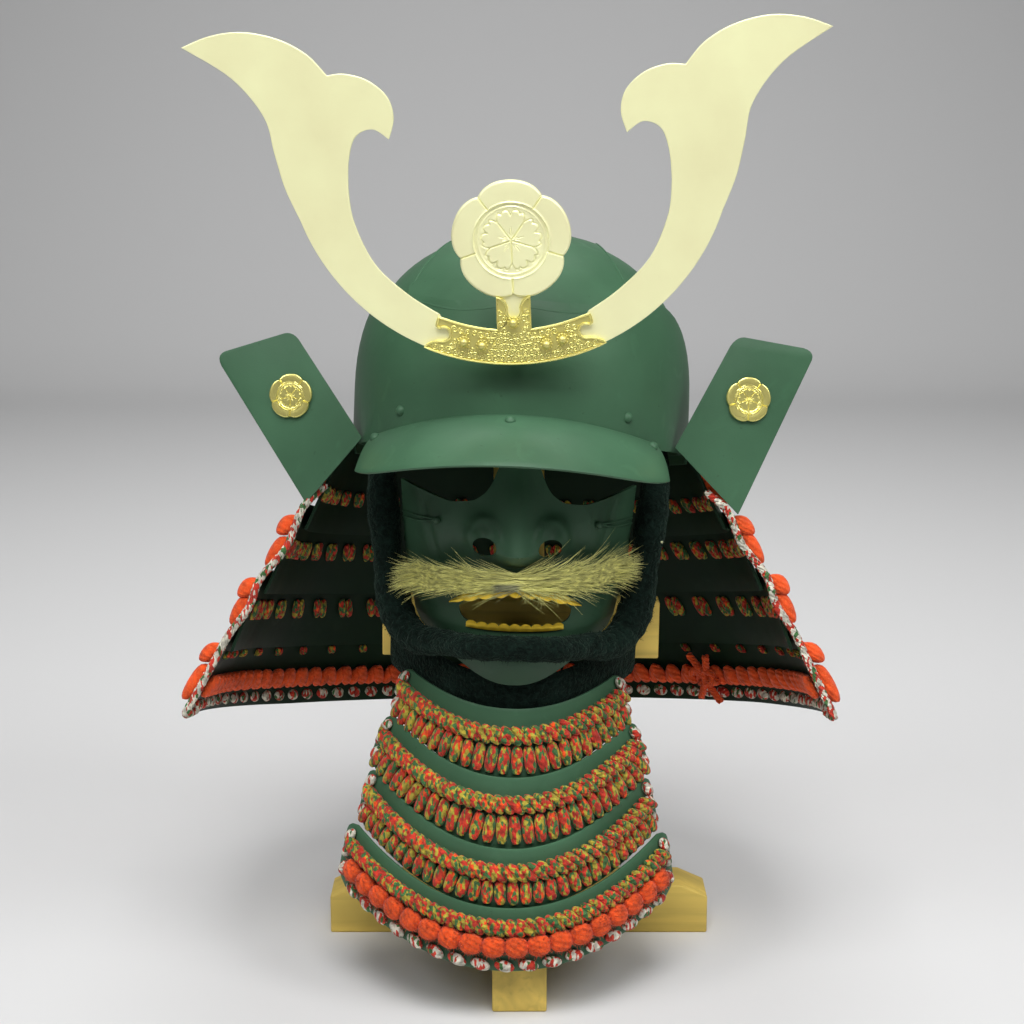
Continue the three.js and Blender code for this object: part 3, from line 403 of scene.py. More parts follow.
def mottled_cord(name, shades, cells):
    """A braid of short stitches, so many cells to a metre, in a few colours: (share, colour) rows."""
    finish = Finish(name)
    wobble = finish.noise(260, 2)
    long_cells = finish.stretched((cells, cells, 0.45 * cells))
    inputs = {"Vector": long_cells, "Scale": 1.0, "Randomness": 1.0}
    stitches = finish.add("ShaderNodeTexVoronoi", {"feature": "F1"}, inputs, output="Color")
    pick = finish.add("ShaderNodeSeparateColor", None, {0: stitches}, output="Red")
    stops = []
    reached = 0.0
    for share, tone in shades:
        stops.append((reached, tone))
        reached += share
    ramp = finish.add("ShaderNodeValToRGB", {"stops": stops, "between": "CONSTANT"}, {0: pick})
    tone = finish.mix(finish.band(wobble, 0.35, 0.65), (0.5, 0.5, 0.5), (1.1, 1.1, 1.1))
    tone = finish.mix(1.0, ramp, tone, "MULTIPLY")
    flecks = finish.band(finish.noise(1400, 2), 0.62, 0.7)
    tone = finish.mix(flecks * 0.15, tone, (0.7, 0.5, 0.12))
    return finish.set(Base_Color=tone, Roughness=0.9, Normal=fibres(finish), Sheen_Weight=0.1).material


def velvet(base):
    finish = Finish("velvet")
    tufts = finish.noise(330, 4, distortion=0.8)
    worn = finish.band(finish.noise(60, 3), 0.5, 0.8)
    tone = finish.mix(finish.band(tufts, 0.4, 0.75), shade(base, 0.45), shade(base, 1.5))
    tone = finish.mix(worn * 0.4, tone, shade(base, 2.4))
    normal = finish.bump(tufts, 0.003, 0.9)
    finish.set(Base_Color=tone, Roughness=0.95, Normal=normal, Specular_IOR_Level=0.1)
    return finish.set(Sheen_Weight=0.12, Sheen_Roughness=0.4, Sheen_Tint=(0.4, 0.62, 0.48, 1.0)).material


def horsehair(base):
    """Straw-coloured strands, greyer close to the middle of the lip."""
    finish = Finish("horsehair")
    streaks = finish.noise(1.0, 2, finish.stretched((25, 500, 500)))
    tone = finish.mix(finish.band(streaks, 0.3, 0.7), shade(base, 0.4), shade(base, 1.25))
    across = finish.add("ShaderNodeSeparateXYZ", None, {0: finish.place}, output="X")
    middle = finish.add("ShaderNodeMath", {"operation": "ABSOLUTE"}, {0: across + 0.008})
    height = finish.add("ShaderNodeSeparateXYZ", None, {0: finish.place}, output="Z")
    grey = finish.band(middle, 0.01, 0.006) * finish.band(height, 0.2735, 0.271)
    tone = finish.mix(grey * 0.7, tone, (0.13, 0.14, 0.13))
    return finish.set(Base_Color=tone, Roughness=0.55, Specular_IOR_Level=0.3).material


def pine(name, base, along):
    """Planed pine with growth lines that run along one axis: 0 is X, 1 is Y and 2 is Z."""
    finish = Finish(name)
    scale = [150.0, 150.0, 150.0]
    scale[along] = 5.0
    lines = finish.noise(1.0, 4, finish.stretched(scale), distortion=0.6)
    broad = [28.0, 28.0, 28.0]
    broad[along] = 1.2
    rings = finish.noise(1.0, 2, finish.stretched(broad), distortion=1.5)
    tone = finish.mix(finish.band(rings, 0.35, 0.65), shade(base, 0.78), shade(base, 1.12))
    tone = finish.mix(finish.band(lines, 0.5, 0.75) * 0.5, tone, shade(base, 0.55))
    normal = finish.bump(lines, 0.0003, 0.3)
    return finish.set(Base_Color=tone, Roughness=0.6, Normal=normal, Specular_IOR_Level=0.3).material


def stage_paint(base):
    finish = Finish("stage_paint")
    return finish.set(Base_Color=base, Roughness=0.9, Specular_IOR_Level=0.1).material


FINISHES = {}


def make_finishes(scene):
    metal, lacing, hair = scene.kabuto_metal, scene.kabuto_lacing, scene.kabuto_hair
    pine_colour = scene.kabuto_stand.pine
    mottle = [(0.38, lacing.red), (0.05, lacing.orange), (0.3, lacing.ochre), (0.27, lacing.green)]
    edging = [(0.5, lacing.white), (0.36, lacing.red), (0.14, lacing.green)]
    FINISHES.update(
        lacquer=lacquer("lacquer", metal.lacquer),
        # The face guard and its pegs take the lacquer darkened to 0.6: painted shade from the peak over the
        # face.
        face_lacquer=lacquer("face_lacquer", shade(metal.lacquer, 0.6)),
        # The lames' inner faces take a far darker lacquer: partly the lacquer of their inside, partly
        # painted shade inside the guard.
        inner_lacquer=lacquer("inner_lacquer", shade(metal.lacquer, 0.2), shine=0.08),
        pale_gold=gilt("pale_gold", metal.pale_gold, rough=0.3, metal=0.25, brushed=0.35),
        gold=gilt("gold", metal.gold, rough=0.22, metal=0.7),
        old_gold=gilt("old_gold", shade(metal.gold, 0.78), rough=0.4, metal=0.7),
        deep_gold=gilt("deep_gold", metal.deep_gold, rough=0.3, metal=0.7),
        orange_cord=plain_cord("orange_cord", lacing.orange),
        mottled_braid=mottled_cord("mottled_braid", mottle, 600),
        edge_braid=mottled_cord("edge_braid", edging, 560),
        velvet=velvet(hair.velvet),
        moustache_hair=horsehair(hair.straw),
        pine_across=pine("pine_across", pine_colour, 0),
        pine_along=pine("pine_along", pine_colour, 1),
        pine_upright=pine("pine_upright", pine_colour, 2),
        stage_paint=stage_paint(scene.kabuto_stage.floor),
    )


# ---- Modelling ----


def pick_only(*objects):
    bpy.ops.object.select_all(action="DESELECT")
    for obj in objects:
        obj.select_set(True)
    bpy.context.view_layer.objects.active = objects[0]


def modified(obj, kind, **settings):
    """obj with a modifier of a kind applied."""
    pick_only(obj)
    bpy.ops.object.modifier_add(type=kind)
    modifier = obj.modifiers[-1]
    for key, value in settings.items():
        setattr(modifier, key, value)
    bpy.ops.object.modifier_apply(modifier=modifier.name)
    return obj


def edited(obj, *steps):
    """obj after edit-mode steps, each an operator and its settings, with all of it selected first."""
    pick_only(obj)
    bpy.ops.object.mode_set(mode="EDIT")
    bpy.ops.mesh.select_all(action="SELECT")
    for operator, settings in steps:
        operator(**settings)
    bpy.ops.object.mode_set(mode="OBJECT")
    return obj


def outward(obj):
    merge = (bpy.ops.mesh.remove_doubles, {"threshold": 0.001})
    return edited(obj, merge, (bpy.ops.mesh.normals_make_consistent, {"inside": False}))


def eased(obj, width, segments=2, angle=40):
    """obj with its sharp edges rounded over."""
    limit = {"limit_method": "ANGLE", "angle_limit": radians(angle)}
    return modified(obj, "BEVEL", width=width, segments=segments, **limit)


def settle(obj, name, group, finish, stands_for=None, smooth=40, second=None):
    """Takes a finished mesh from its group's millimetres to its place, and dresses it.

    Its slot is its finish, and it stands for the solid of its own name, where nothing else is
    said. The second finish goes on the faces marked 1.
    """
    obj.name = name
    obj.data.name = name
    obj.data.transform(group)
    marks = [face.material_index for face in obj.data.polygons]
    obj.data.materials.clear()
    obj.data.materials.append(FINISHES[finish])
    if second:
        obj.data.materials.append(FINISHES[second])
        obj.data.polygons.foreach_set("material_index", marks)
    pick_only(obj)
    bpy.ops.object.shade_smooth_by_angle(angle=radians(smooth))
    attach(obj, "root")
    node = stands_for or name
    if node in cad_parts:
        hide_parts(node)
    return obj


def outline_ring(points, fill="NOTHING"):
    """A primitive circle whose corners are moved to a list of points."""
    bpy.ops.object.select_all(action="DESELECT")
    bpy.ops.mesh.primitive_circle_add(vertices=len(points), fill_type=fill)
    obj = bpy.context.object
    for vertex, point in zip(obj.data.vertices, points):
        vertex.co = point
    return obj


def drawn_out(points, way):
    """A closed outline filled and drawn out along a way."""
    draw = (bpy.ops.mesh.extrude_region_move, {"TRANSFORM_OT_translate": {"value": way}})
    return outward(edited(outline_ring(points, "NGON"), draw))


def cut_plate(outline, front, depth):
    """A flat plate cut to an outline in X and Z, from its front face back."""
    return drawn_out([(x, front, z) for x, z in outline], (0, depth, 0))


def plan_block(outline, low, high):
    """A block of a plan outline in X and Y, standing from low to high."""
    return drawn_out([(x, y, low) for x, y in outline], (0, 0, high - low))


def spun(profile, steps=96):
    """A closed profile of (r, z) rows spun about Z."""
    obj = outline_ring([(r, 0, z) for r, z in profile])
    spin = {"steps": steps, "angle": 2 * pi, "center": (0, 0, 0), "axis": (0, 0, 1)}
    return outward(edited(obj, (bpy.ops.mesh.spin, spin)))


def carve(obj, tool, operation="DIFFERENCE"):
    """Cuts obj with a tool, which is used up."""
    modified(obj, "BOOLEAN", object=tool, operation=operation, solver="EXACT")
    bpy.data.objects.remove(tool)
    return obj


def laid(columns, rows, place):
    """A grid laid by place(s, h), with s from -1 to 1 and h from 0 to 1."""
    bpy.ops.object.select_all(action="DESELECT")
    bpy.ops.mesh.primitive_grid_add(x_subdivisions=columns, y_subdivisions=rows, size=2)
    obj = bpy.context.object
    for vertex in obj.data.vertices:
        vertex.co = place(vertex.co.x, (vertex.co.y + 1) / 2)
    return obj


def walled(obj, thickness, towards):
    """A laid grid given a wall behind its finished side, which faces towards a direction."""
    facing = sum((face.normal.dot(towards) * face.area for face in obj.data.polygons), 0.0)
    if facing < 0:
        edited(obj, (bpy.ops.mesh.flip_normals, {}))
    return modified(obj, "SOLIDIFY", thickness=thickness, offset=-1, use_even_offset=True)


def ball(segments, rings, scale=(1, 1, 1)):
    bpy.ops.object.select_all(action="DESELECT")
    bpy.ops.mesh.primitive_uv_sphere_add(segments=segments, ring_count=rings, radius=1)
    obj = bpy.context.object
    obj.data.transform(Matrix.Diagonal((*scale, 1)))
    return obj


def pod(segments, rings, blunt=0.55):
    """A bead with blunt, rounded ends, long along Z."""
    obj = ball(segments, rings)
    for vertex in obj.data.vertices:
        wide = sqrt(vertex.co.x**2 + vertex.co.y**2)
        if wide > 1e-6:
            vertex.co.xy *= wide ** (blunt - 1)
    return obj


def strung(bead, places):
    """Copies of a bead, each with its own mesh, set at the places and joined."""
    copies = []
    for place in places:
        copy = bead.copy()
        copy.data = bead.data.copy()
        copy.data.transform(place)
        bpy.context.collection.objects.link(copy)
        copies.append(copy)
    bpy.data.objects.remove(bead)
    return joined(copies)


def joined(objects):
    pick_only(*objects)
    if len(objects) > 1:
        bpy.ops.object.join()
    return bpy.context.view_layer.objects.active


def axes(at, x, y, z):
    """The matrix that puts a bead's own axes along three given vectors."""
    turn = Matrix((x, y, z)).transposed().to_4x4()
    return Matrix.Translation(at) @ turn


def strands(lines, thickness, rounding=0, closed=False):
    """Thin round strands along lists of (point, relative thickness) rows, as one mesh."""
    curve = bpy.data.curves.new("strands", "CURVE")
    curve.dimensions = "3D"
    curve.bevel_depth = thickness / 2
    curve.bevel_resolution = rounding
    curve.use_fill_caps = True
    for line in lines:
        spline = curve.splines.new("POLY")
        spline.points.add(len(line) - 1)
        spline.use_cyclic_u = closed
        for point, (at, wide) in zip(spline.points, line):
            point.co = (*at, 1)
            point.radius = wide
    obj = bpy.data.objects.new("strands", curve)
    bpy.context.collection.objects.link(obj)
    pick_only(obj)
    bpy.ops.object.convert(target="MESH")
    return bpy.context.view_layer.objects.active


def arc(centre, radius, start, end, steps):
    """Points (x, z) on an arc between two angles in radians."""
    angles = [lerp(start, end, i / steps) for i in range(steps + 1)]
    return [(centre[0] + radius * cos(a), centre[1] + radius * sin(a)) for a in angles]


def curve_through(points, steps=8):
    """A smooth line through points, without its first one."""
    padded = [points[0], *points, points[-1]]
    line = []
    for before, a, b, after in zip(padded, padded[1:], padded[2:], padded[3:]):
        for i in range(1, steps + 1):
            t = i / steps
            line.append(tuple(_eased(before[k], a[k], b[k], after[k], t) for k in range(len(a))))
    return line


def _eased(before, a, b, after, t):
    leave, reach = (b - before) / 2, (after - a) / 2
    cubic = 2 * a - 2 * b + leave + reach
    square = -3 * a + 3 * b - 2 * leave - reach
    return cubic * t**3 + square * t**2 + leave * t + a


def bow(a, middle, b, steps=6):
    """A quadratic curve's points, without its first one."""
    line = []
    for i in range(1, steps + 1):
        t = i / steps
        line.append(tuple((1 - t) ** 2 * a[k] + 2 * t * (1 - t) * middle[k] + t**2 * b[k] for k in (0, 1)))
    return line


def spaced(place, h, out, pitch, reach=1.0, samples=240):
    """Values of s from end to end of a row at equal distances along it."""
    ways = [lerp(-reach, reach, i / samples) for i in range(samples + 1)]
    spots = [place(s, h, out) for s in ways]
    run = [0.0]
    for a, b in zip(spots, spots[1:]):
        run.append(run[-1] + (b - a).length)
    number = max(2, round(run[-1] / pitch))
    stops = []
    k = 0
    for i in range(number):
        target = run[-1] * (i + 0.5) / number
        while run[k + 1] < target:
            k += 1
        stops.append(lerp(ways[k], ways[k + 1], (target - run[k]) / (run[k + 1] - run[k])))
    return stops


def on_surface(place, s, h, out):
    """A point on a curved band, the way along it, down it and out of it."""
    small = 0.004
    at = place(s, h, out)
    along = (place(s + small, h, out) - place(s - small, h, out)).normalized()
    down = (place(s, h + small, out) - place(s, h - small, out)).normalized()
    outer = (place(s, h, out + 1) - at).normalized()
    return at, along, down, outer


def slanted(spot, slant, across, thick, half):
    """The place of a bead that leans by an angle from straight down the band."""
    at, along, down, outer = spot
    lean = (down * cos(slant) + along * sin(slant)).normalized()
    side = outer.cross(lean).normalized()
    return axes(at, side * across, outer * thick, lean * half)


def rope_row(place, h, out, pitch, size, segments=8, reach=1.0, slant=0.9):
    """A laid rope: slanting twists side by side along a band."""
    across, thick, half = 0.5 * pitch, 0.46 * size, 0.86 * size
    places = []
    for s in spaced(place, h, out, pitch, reach):
        places.append(slanted(on_surface(place, s, h, out), slant, across, thick, half))
    return strung(pod(segments, 8, 0.8), places)


def loop_row(place, h, out, pitch, width, thick, half, segments=8, reach=1.0, fan=0.0):
    """A row of hanging loops side by side along a band, fanned out towards its ends."""
    places = []
    for i, s in enumerate(spaced(place, h, out, pitch, reach)):
        wobble = 0.1 * sin(7.3 * i)
        spot = on_surface(place, s, h, out)
        places.append(slanted(spot, fan * s + wobble, width / 2, thick / 2, half))
    return strung(pod(segments, 8), places)


# ---- The bowl ----


def lengthened(obj):
    """A round of the bowl drawn out to its length and moved to its middle."""
    stretch = Matrix.Diagonal((1, BOWL["long"] / BOWL["half"], 1, 1))
    obj.data.transform(Matrix.Translation((0, BOWL["y"], 0)) @ stretch)
    return obj


def dome_curve(offset, steps=22):
    """The dome's section from its crown to its base, offset from the bowl's own, as (r, z)."""
    half, high, power = BOWL["half"] + offset, BOWL["height"] + offset, 2 / BOWL["power"]
    angles = [pi / 2 * i / steps for i in range(steps + 1)]
    rows = [(half * sin(a) ** power, BOWL["waist"] + high * max(cos(a), 0) ** power) for a in angles]
    return [*rows, (half, BOWL["base"])]


def dome(layer):
    """The closed dome of one layer of plate, with its wall."""
    outer = layer * LAYER
    return lengthened(spun([*dome_curve(outer), *reversed(dome_curve(outer - PLATE))]))


def brow_z(x):
    """The height of the face opening's upper edge."""
    return BROW["z"] - BROW["drop"] * (min(abs(x), BROW["half"]) / BROW["half"]) ** 2


def front_region(margin, steps=40):
    """All that the front plate covers, and a margin behind it."""
    reach, ahead = 120, -160
    line = [lerp(reach, -reach, i / steps) for i in range(steps + 1)]
    edge = [(x, front_edge(x) + margin) for x in line]
    return plan_block([(-reach, ahead), (reach, ahead), *edge], *WHOLE_HEIGHT)


def strip_region(extra, steps=24):
    """All that the top plate covers, and something extra at each side."""
    front, back = -124, 140
    line = [lerp(front, back, i / steps) for i in range(steps + 1)]
    left = [(-strip_half(y) - extra, y) for y in line]
    right = [(strip_half(y) + extra, y) for y in reversed(line)]
    return plan_block([*left, *right], *WHOLE_HEIGHT)


def under_brow(steps=24):
    """All that lies below the opening's upper edge, in front of the ears."""
    line = [lerp(-BROW["half"], BROW["half"], i / steps) for i in range(steps + 1)]
    edge = [(x, brow_z(x) - 1) for x in line]
    return cut_plate([(-130, -90), *edge, (130, -90)], -160, 105)


def half_space(side):
    """All that lies on one side of the middle."""
    far = 200
    return plan_block([(0, -far), (far * side, -far), (far * side, far), (0, far)], -100, far)


def bowl_plates(edge):
    plates = {}
    for name, side in (("left", -1), ("right", 1)):
        obj = carve(dome(0), strip_region(-TUCK))
        obj = carve(carve(obj, front_region(-TUCK)), under_brow())
        plates["bowl_side_" + name] = carve(obj, half_space(side), "INTERSECT")
    top = carve(dome(1), strip_region(0), "INTERSECT")
    plates["bowl_top_plate"] = carve(top, front_region(-TUCK))
    front = carve(dome(2), front_region(0), "INTERSECT")
    plates["bowl_front_plate"] = carve(front, under_brow())
    for name, obj in plates.items():
        settle(eased(obj, edge), name, HELMET, "lacquer")


def dome_point(x, y, layer, stand=0.0):
    """A point on a layer's outer face, seen from above."""
    half = BOWL["half"] + layer * LAYER + stand
    high = BOWL["height"] + layer * LAYER + stand
    share = sqrt(x**2 + ((y - BOWL["y"]) * BOWL["half"] / BOWL["long"]) ** 2) / half
    rise = max(0.0, 1 - share ** BOWL["power"]) ** (1 / BOWL["power"])
    return Vector((x, y, BOWL["waist"] + high * rise))


def front_edge(x):
    """Where the front plate's upper edge runs, seen from above."""
    return FRONT_EDGE["y"] + FRONT_EDGE["sweep"] * (abs(x) / FRONT_EDGE["at"]) ** FRONT_EDGE["power"]


def strip_half(y):
    """Half the top plate's width, which flares towards the front."""
    return min(STRIP["half"] + STRIP["flare"] * max(0, STRIP["from"] - y) ** 2, STRIP["widest"])


def edge_rolls(steps=59):
    """The thin rolled rims of the top plate."""
    front, back = -73, 102
    line = [lerp(front, back, i / steps) for i in range(steps + 1)]
    lines = []
    for side in (-1, 1):
        lines.append([(dome_point(side * (strip_half(y) - 0.7), y, 1, -0.1), 1) for y in line])
    settle(strands(lines, 1.5, rounding=1), "bowl_edge_rolls", HELMET, "lacquer")


def feathered_edge():
    """The front plate's upper edge, beaten thin over the plate behind it."""

    def place(s, h):
        x = 69 * s
        y = front_edge(x) - 3
        on_front, on_top = dome_point(x, y, 2, 0.12), dome_point(x, y + 15, 1, 0.12)
        return on_front.lerp(on_top, h) + Vector((0, 0, 0.5 * sin(pi * h)))

    obj = walled(laid(80, 6, place), 0.4, Vector((0, 0, 1)))
    settle(obj, "bowl_feathered_edge", HELMET, "lacquer", smooth=60)


def base_band(edge):
    outer = BOWL["half"] + 2 * LAYER
    inner = outer - PLATE
    low, high = BAND["bottom"], BAND["top"]
    obj = lengthened(spun([(inner, low), (outer, low), (outer, high), (inner, high)]))
    carve(obj, front_region(GAP))
    settle(eased(obj, edge), "bowl_base_band", HELMET, "lacquer")


def forehead_point(x, z, stand):
    """A point on the front plate's upright part, or standing off it."""
    a = BOWL["half"] + 2 * LAYER + stand
    b = a * BOWL["long"] / BOWL["half"]
    return Vector((x, BOWL["y"] - b * sqrt(1 - (x / a) ** 2), z))


def forehead_normal(x):
    a = BOWL["half"] + 2 * LAYER
    b = a * BOWL["long"] / BOWL["half"]
    return Vector((x / a**2, (forehead_point(x, 0, 0).y - BOWL["y"]) / b**2, 0)).normalized()


def rivet(name, at, normal, radius):
    """A domed head with a small flat rim, on the surface at a point."""
    rows = [(0, 0.72), (0.35, 0.68), (0.65, 0.5), (0.88, 0.2), (1.0, 0.05), (1.0, -0.1), (0, -0.1)]
    obj = spun([(r * radius, z * radius) for r, z in rows], 24)
    turn = Vector((0, 0, 1)).rotation_difference(normal).to_matrix().to_4x4()
    obj.data.transform(Matrix.Translation(at + normal * GAP) @ turn)
    settle(obj, name, HELMET, "lacquer")


# ---- The peak ----


def peak_point(s, h):
    """A point of the peak's upper face: s across, and h from the brow out to the rim."""
    corner = 1 - 0.045 * abs(2 * h - 1) ** 3
    u = s * corner
    brow_x = (BOWL["half"] + 2 * LAYER) * sin(radians(PEAK["brow"] * u))
    brow = forehead_point(brow_x, brow_z(brow_x), 2.2)
    across, along = sin(radians(PEAK["rim"] * u)), cos(radians(PEAK["rim"] * u))
    rim_z = PEAK_RIM["z"] - PEAK_RIM["drop"] * across**2 + PEAK_RIM["lift"] * abs(across) ** 12
    rim = Vector((PEAK["half"] * across, PEAK["side_y"] - (PEAK["reach"] + PEAK["side_y"]) * along, rim_z))
    point = brow.lerp(rim, h)
    rise = PEAK["arch"] * sin(pi * h)
    return point + Vector((0, -0.6 * rise, rise))


def peak_normal(s, h):
    small = 0.001
    along = peak_point(s + small, h) - peak_point(s - small, h)
    down = peak_point(s, h + small) - peak_point(s, h - small)
    normal = along.cross(down).normalized()
    return normal if normal.z > 0 else -normal


# ---- The crest ----


def foot_arc(x, inset):
    """The height of the horns' lower edge, or of a line inset from it."""
    return HORN["radius"] - sqrt((HORN["radius"] - inset) ** 2 - x**2)


def horn_outline():
    radius, tongue = HORN["radius"], HORN["tongue"]
    inner = radius - HORN["height"]
    centre = (0, radius)
    line = arc(centre, radius, -pi / 2 + tongue / radius, -pi / 2 + radians(71), 40)
    for stretch in (
        [(129.5, 106), (134.3, 126), (139, 147), (156, 169), (183.3, 187)],
        [(167, 192.8), (148, 194.5), (128, 190), (112, 181), (101.3, 169)],
        [(91, 169.6), (78, 165.5), (67.5, 156), (64.5, 144), (67.8, 132)],
        [(77, 138), (87, 134), (91.5, 121), (92.7, 105)],
        [(90.5, 85.5), (79.7, 60.7), (61.5, 42.5), (43.5, 30.2)],
    ):
        line += curve_through([line[-1], *stretch], 7)
    return line + arc(centre, inner, -pi / 2 + 0.4, -pi / 2 + tongue / inner, 8)


def holder_outline():
    radius, half, top, notch = HORN["radius"], HOLDER["half"], HOLDER["top"], HOLDER["notch"]
    stem, crown = HOLDER["stem"], HOLDER["stem_top"]
    inner = radius - HORN["height"]
    centre, down = (0, radius), -pi / 2
    low, high, waist = asin(half / radius), asin(top / inner), asin(stem / inner)
    level = foot_arc(44, 0) + 11
    side = arc(centre, radius, down, down + low, 14)[1:]
    side += bow(side[-1], (half - 5, level - 3.5), (half - 10.5, level - notch))
    side += arc((half - 11.4, level), notch, down, down - 1.12 * pi, 14)
    side += bow(side[-1], (half - 9.5, level + 3.2), (half - 7.6, level + 5))
    side += bow(side[-1], (top + 2.2, level + 6.5), (top + 1, foot_arc(top, HORN["height"])))
    side += arc(centre, inner, down + high, down + waist, 12)[1:]
    side.append((stem, crown))
    side += bow(side[-1], (5.5, crown - 1), (4, crown - 6))
    side += arc((0, crown - 8.5), notch, radians(35), radians(90) - 2 * pi, 14)[1:8]
    return side + [(-x, z) for x, z in reversed(side) if abs(x) > 1e-6] + [(0, 0)]


# The flower's relief, in shares of its radius: two rings round the blossom as (radius, height,
# width), and the spokes in each petal as (turn, reach).
RINGS = [(0.635, 0.3, 0.013), (0.56, 0.26, 0.012)]
SPOKES = [(0, 0.22), (0.36, 0.15)]
STEP = 0.02


def flower_height(r, angle):
    """Relief of the flower disc at a share of its radius: lobes, a double ring and a blossom."""
    lobe = (angle - pi / 2) * 5 / (2 * pi)
    off = 2 * abs(lobe - round(lobe))
    seam = (1 - off) * r * 0.63
    height = 0.4
    if r > 0.62:
        height += 0.5 * sin(pi * step(r, 0.56, 0.5)) ** 0.6 - 0.55 * hill(seam, 0.013)
    for ring, tall, wide in RINGS:
        height += tall * hill(r - ring, wide)
    tip = 0.5 - 0.085 * hill(off, 0.1) - 0.045 * hill(off - 0.56, 0.1)
    tip -= 0.15 * step(off, 0.62, 0.38) ** 2
    height += 0.22 * step(tip, r, STEP) - 0.3 * hill(r - tip - 0.008, 0.012)
    height += 0.2 * hill(off - 1, 0.2) * hill(r - 0.45, 0.035)
    height -= 0.42 * hill(seam, 0.011) * step(0.35, r, STEP)
    for turn, reach in SPOKES:
        spoke = abs(off - turn) * 0.63 * r
        height -= 0.2 * hill(spoke, 0.008) * step(reach, r, STEP) * step(r, 0.07, STEP)
    return height + 0.22 * hill(r, 0.04)


def flower_disc(radius, thick, relief, fine):
    """A five-lobed disc with its middle at the origin, its relief towards the front."""

    def place(s, h):
        angle = pi / 2 + pi * s
        lobe = (angle - pi / 2) * 5 / (2 * pi)
        rim = radius * (1 - 0.1 * (2 * abs(lobe - round(lobe))) ** 3)
        r = rim * h
        edge = step(1, h, 0.03) ** 0.5
        rise = relief * flower_height(r / radius, angle) * edge
        return Vector((r * cos(angle), -rise, r * sin(angle)))

    obj = laid(fine, fine // 3, place)
    outward(obj)
    return walled(obj, thick, Vector((0, -1, 0)))


def curl(size, turns, thick, hand, start):
    """The line of a flat scroll that winds in to its middle, as (x, z) and relative thickness."""
    line = []
    steps = int(11 * turns)
    for t in [i / steps for i in range(steps + 1)]:
        angle = start + hand * 2 * pi * turns * t
        r = size * (1 - 0.88 * t)
        line.append((r * cos(angle), r * sin(angle), thick * (1.0 - 0.35 * t)))
    return line


def holder_scrolls(outline):
    """Scrolls that fill the holder's field, clear of its rim and its studs."""
    dice = random.Random(9)
    front = -PLATE - GAP + 0.25
    lines = []
    for row in range(12):
        for column in range(-14, 15):
            x, z = 3.9 * (column + 0.5 * (row % 2)), 3.0 + 3.4 * row
            z += foot_arc(x, 0) if abs(x) > 10 or row < 5 else 0
            if apart(outline, x, z) < 2.4 or apart(STUDS, x, z) < 5.4 or not encloses(outline, x, z):
                continue
            hand = dice.choice((-1, 1))
            size = dice.uniform(1.9, 2.5)
            scroll = curl(size, 1.5, 1.0, hand, dice.uniform(0, 2 * pi))
            lines.append([((x + a, front, z + b), wide) for a, b, wide in scroll])
    return strands(lines, 1.0, rounding=1)


def apart(points, x, z):
    """How far a place is from the nearest of some points."""
    return min(sqrt((x - a) ** 2 + (z - b) ** 2) for a, b in points)


def encloses(outline, x, z):
    """Whether a point lies within a closed outline."""
    crossings = 0
    for (a, low), (b, high) in zip(outline, [*outline[1:], outline[0]]):
        if (low > z) != (high > z) and x < a + (z - low) / (high - low) * (b - a):
            crossings += 1
    return crossings % 2 == 1


def crest_stud(x, z):
    """A domed stud in a collar of beads."""
    head = [(0, 4.9), (1.1, 4.7), (2.0, 4.0), (2.6, 3.0), (2.7, 1.9), (2.3, 1.1)]
    foot = [(3.4, 0.9), (3.6, 0.3), (3.6, 0), (0, 0)]
    beads = [Matrix.Translation((x, y, 1.0)) for x, y in arc((0, 0), 3.1, 0, 2 * pi, 11)[:-1]]
    collar = strung(ball(8, 5, (0.75, 0.75, 0.75)), beads)
    obj = joined([spun([*head, *foot], 24), collar])
    obj.data.transform(Matrix.Translation((x, -PLATE - 2 * GAP, z)) @ Matrix.Rotation(pi / 2, 4, "X"))
    return obj


def crest_holder():
    outline = holder_outline()
    plate = cut_plate(outline, -PLATE - GAP + 0.4, PLATE - 0.4)
    edge = [((x, -PLATE - GAP + 0.15, z), 1) for x, z in outline]
    rim = strands([edge], 1.5, rounding=2, closed=True)
    field = len(plate.data.polygons)
    obj = joined([plate, rim, holder_scrolls(outline)])
    for face in obj.data.polygons[:field]:
        face.material_index = 1
    settle(obj, "crest_holder", CREST, "gold", smooth=30, second="old_gold")


# ---- The wings ----


def wing_outline(wing):
    corner = WING["corner"]
    outer, inner = wing["outer_top"], wing["inner_top"]
    line = [wing["inner_low"], wing["outer_low"], (outer[0] - 0.48 * corner, outer[1] - 0.88 * corner)]
    line += bow(line[-1], outer, (outer[0] - 0.97 * corner, outer[1] + 0.23 * corner))
    line.append((inner[0] + 0.7 * corner, inner[1] - 0.17 * corner))
    return line + bow(line[-1], inner, (inner[0] - 0.5 * corner, inner[1] - 0.8 * corner))


def wing_y(x):
    return WING["y"] + WING["sweep"] * (x - WING["from"])


# ---- The neck guard ----


def neck_point(row, s, z, out):
    """A point of a neck lame: s from the left front end round the back to the right one."""
    lame = NECK_LAMES[row]
    (top_z, top_half, top_back), (low_z, low_half, low_back) = lame["top"], lame["low"]
    share = (top_z - z) / (top_z - low_z)
    half = lerp(top_half, low_half, share) + out
    back = lerp(top_back, low_back, share) + out
    side, way = (1 if s > 0 else -1), abs(s)
    if way <= NECK_TURN:
        angle = way / NECK_TURN * pi / 2
        x, y = side * half * sin(angle), NECK_MIDDLE + back * cos(angle)
    else:
        ahead = (way - NECK_TURN) / (1 - NECK_TURN)
        x, y = side * half * (1 - lame["pull"] * ahead**2), lerp(NECK_MIDDLE, lame["front"], ahead)
    lowness = step(NECK_SAG["from"], z, NECK_SAG["over"])
    sag = NECK_SAG["depth"] * lowness * clamp(x / NECK_SAG["at"], -1, 1)
    return Vector((x, y, z + sag - NECK_TILT["slope"] * (y - NECK_TILT["y"])))


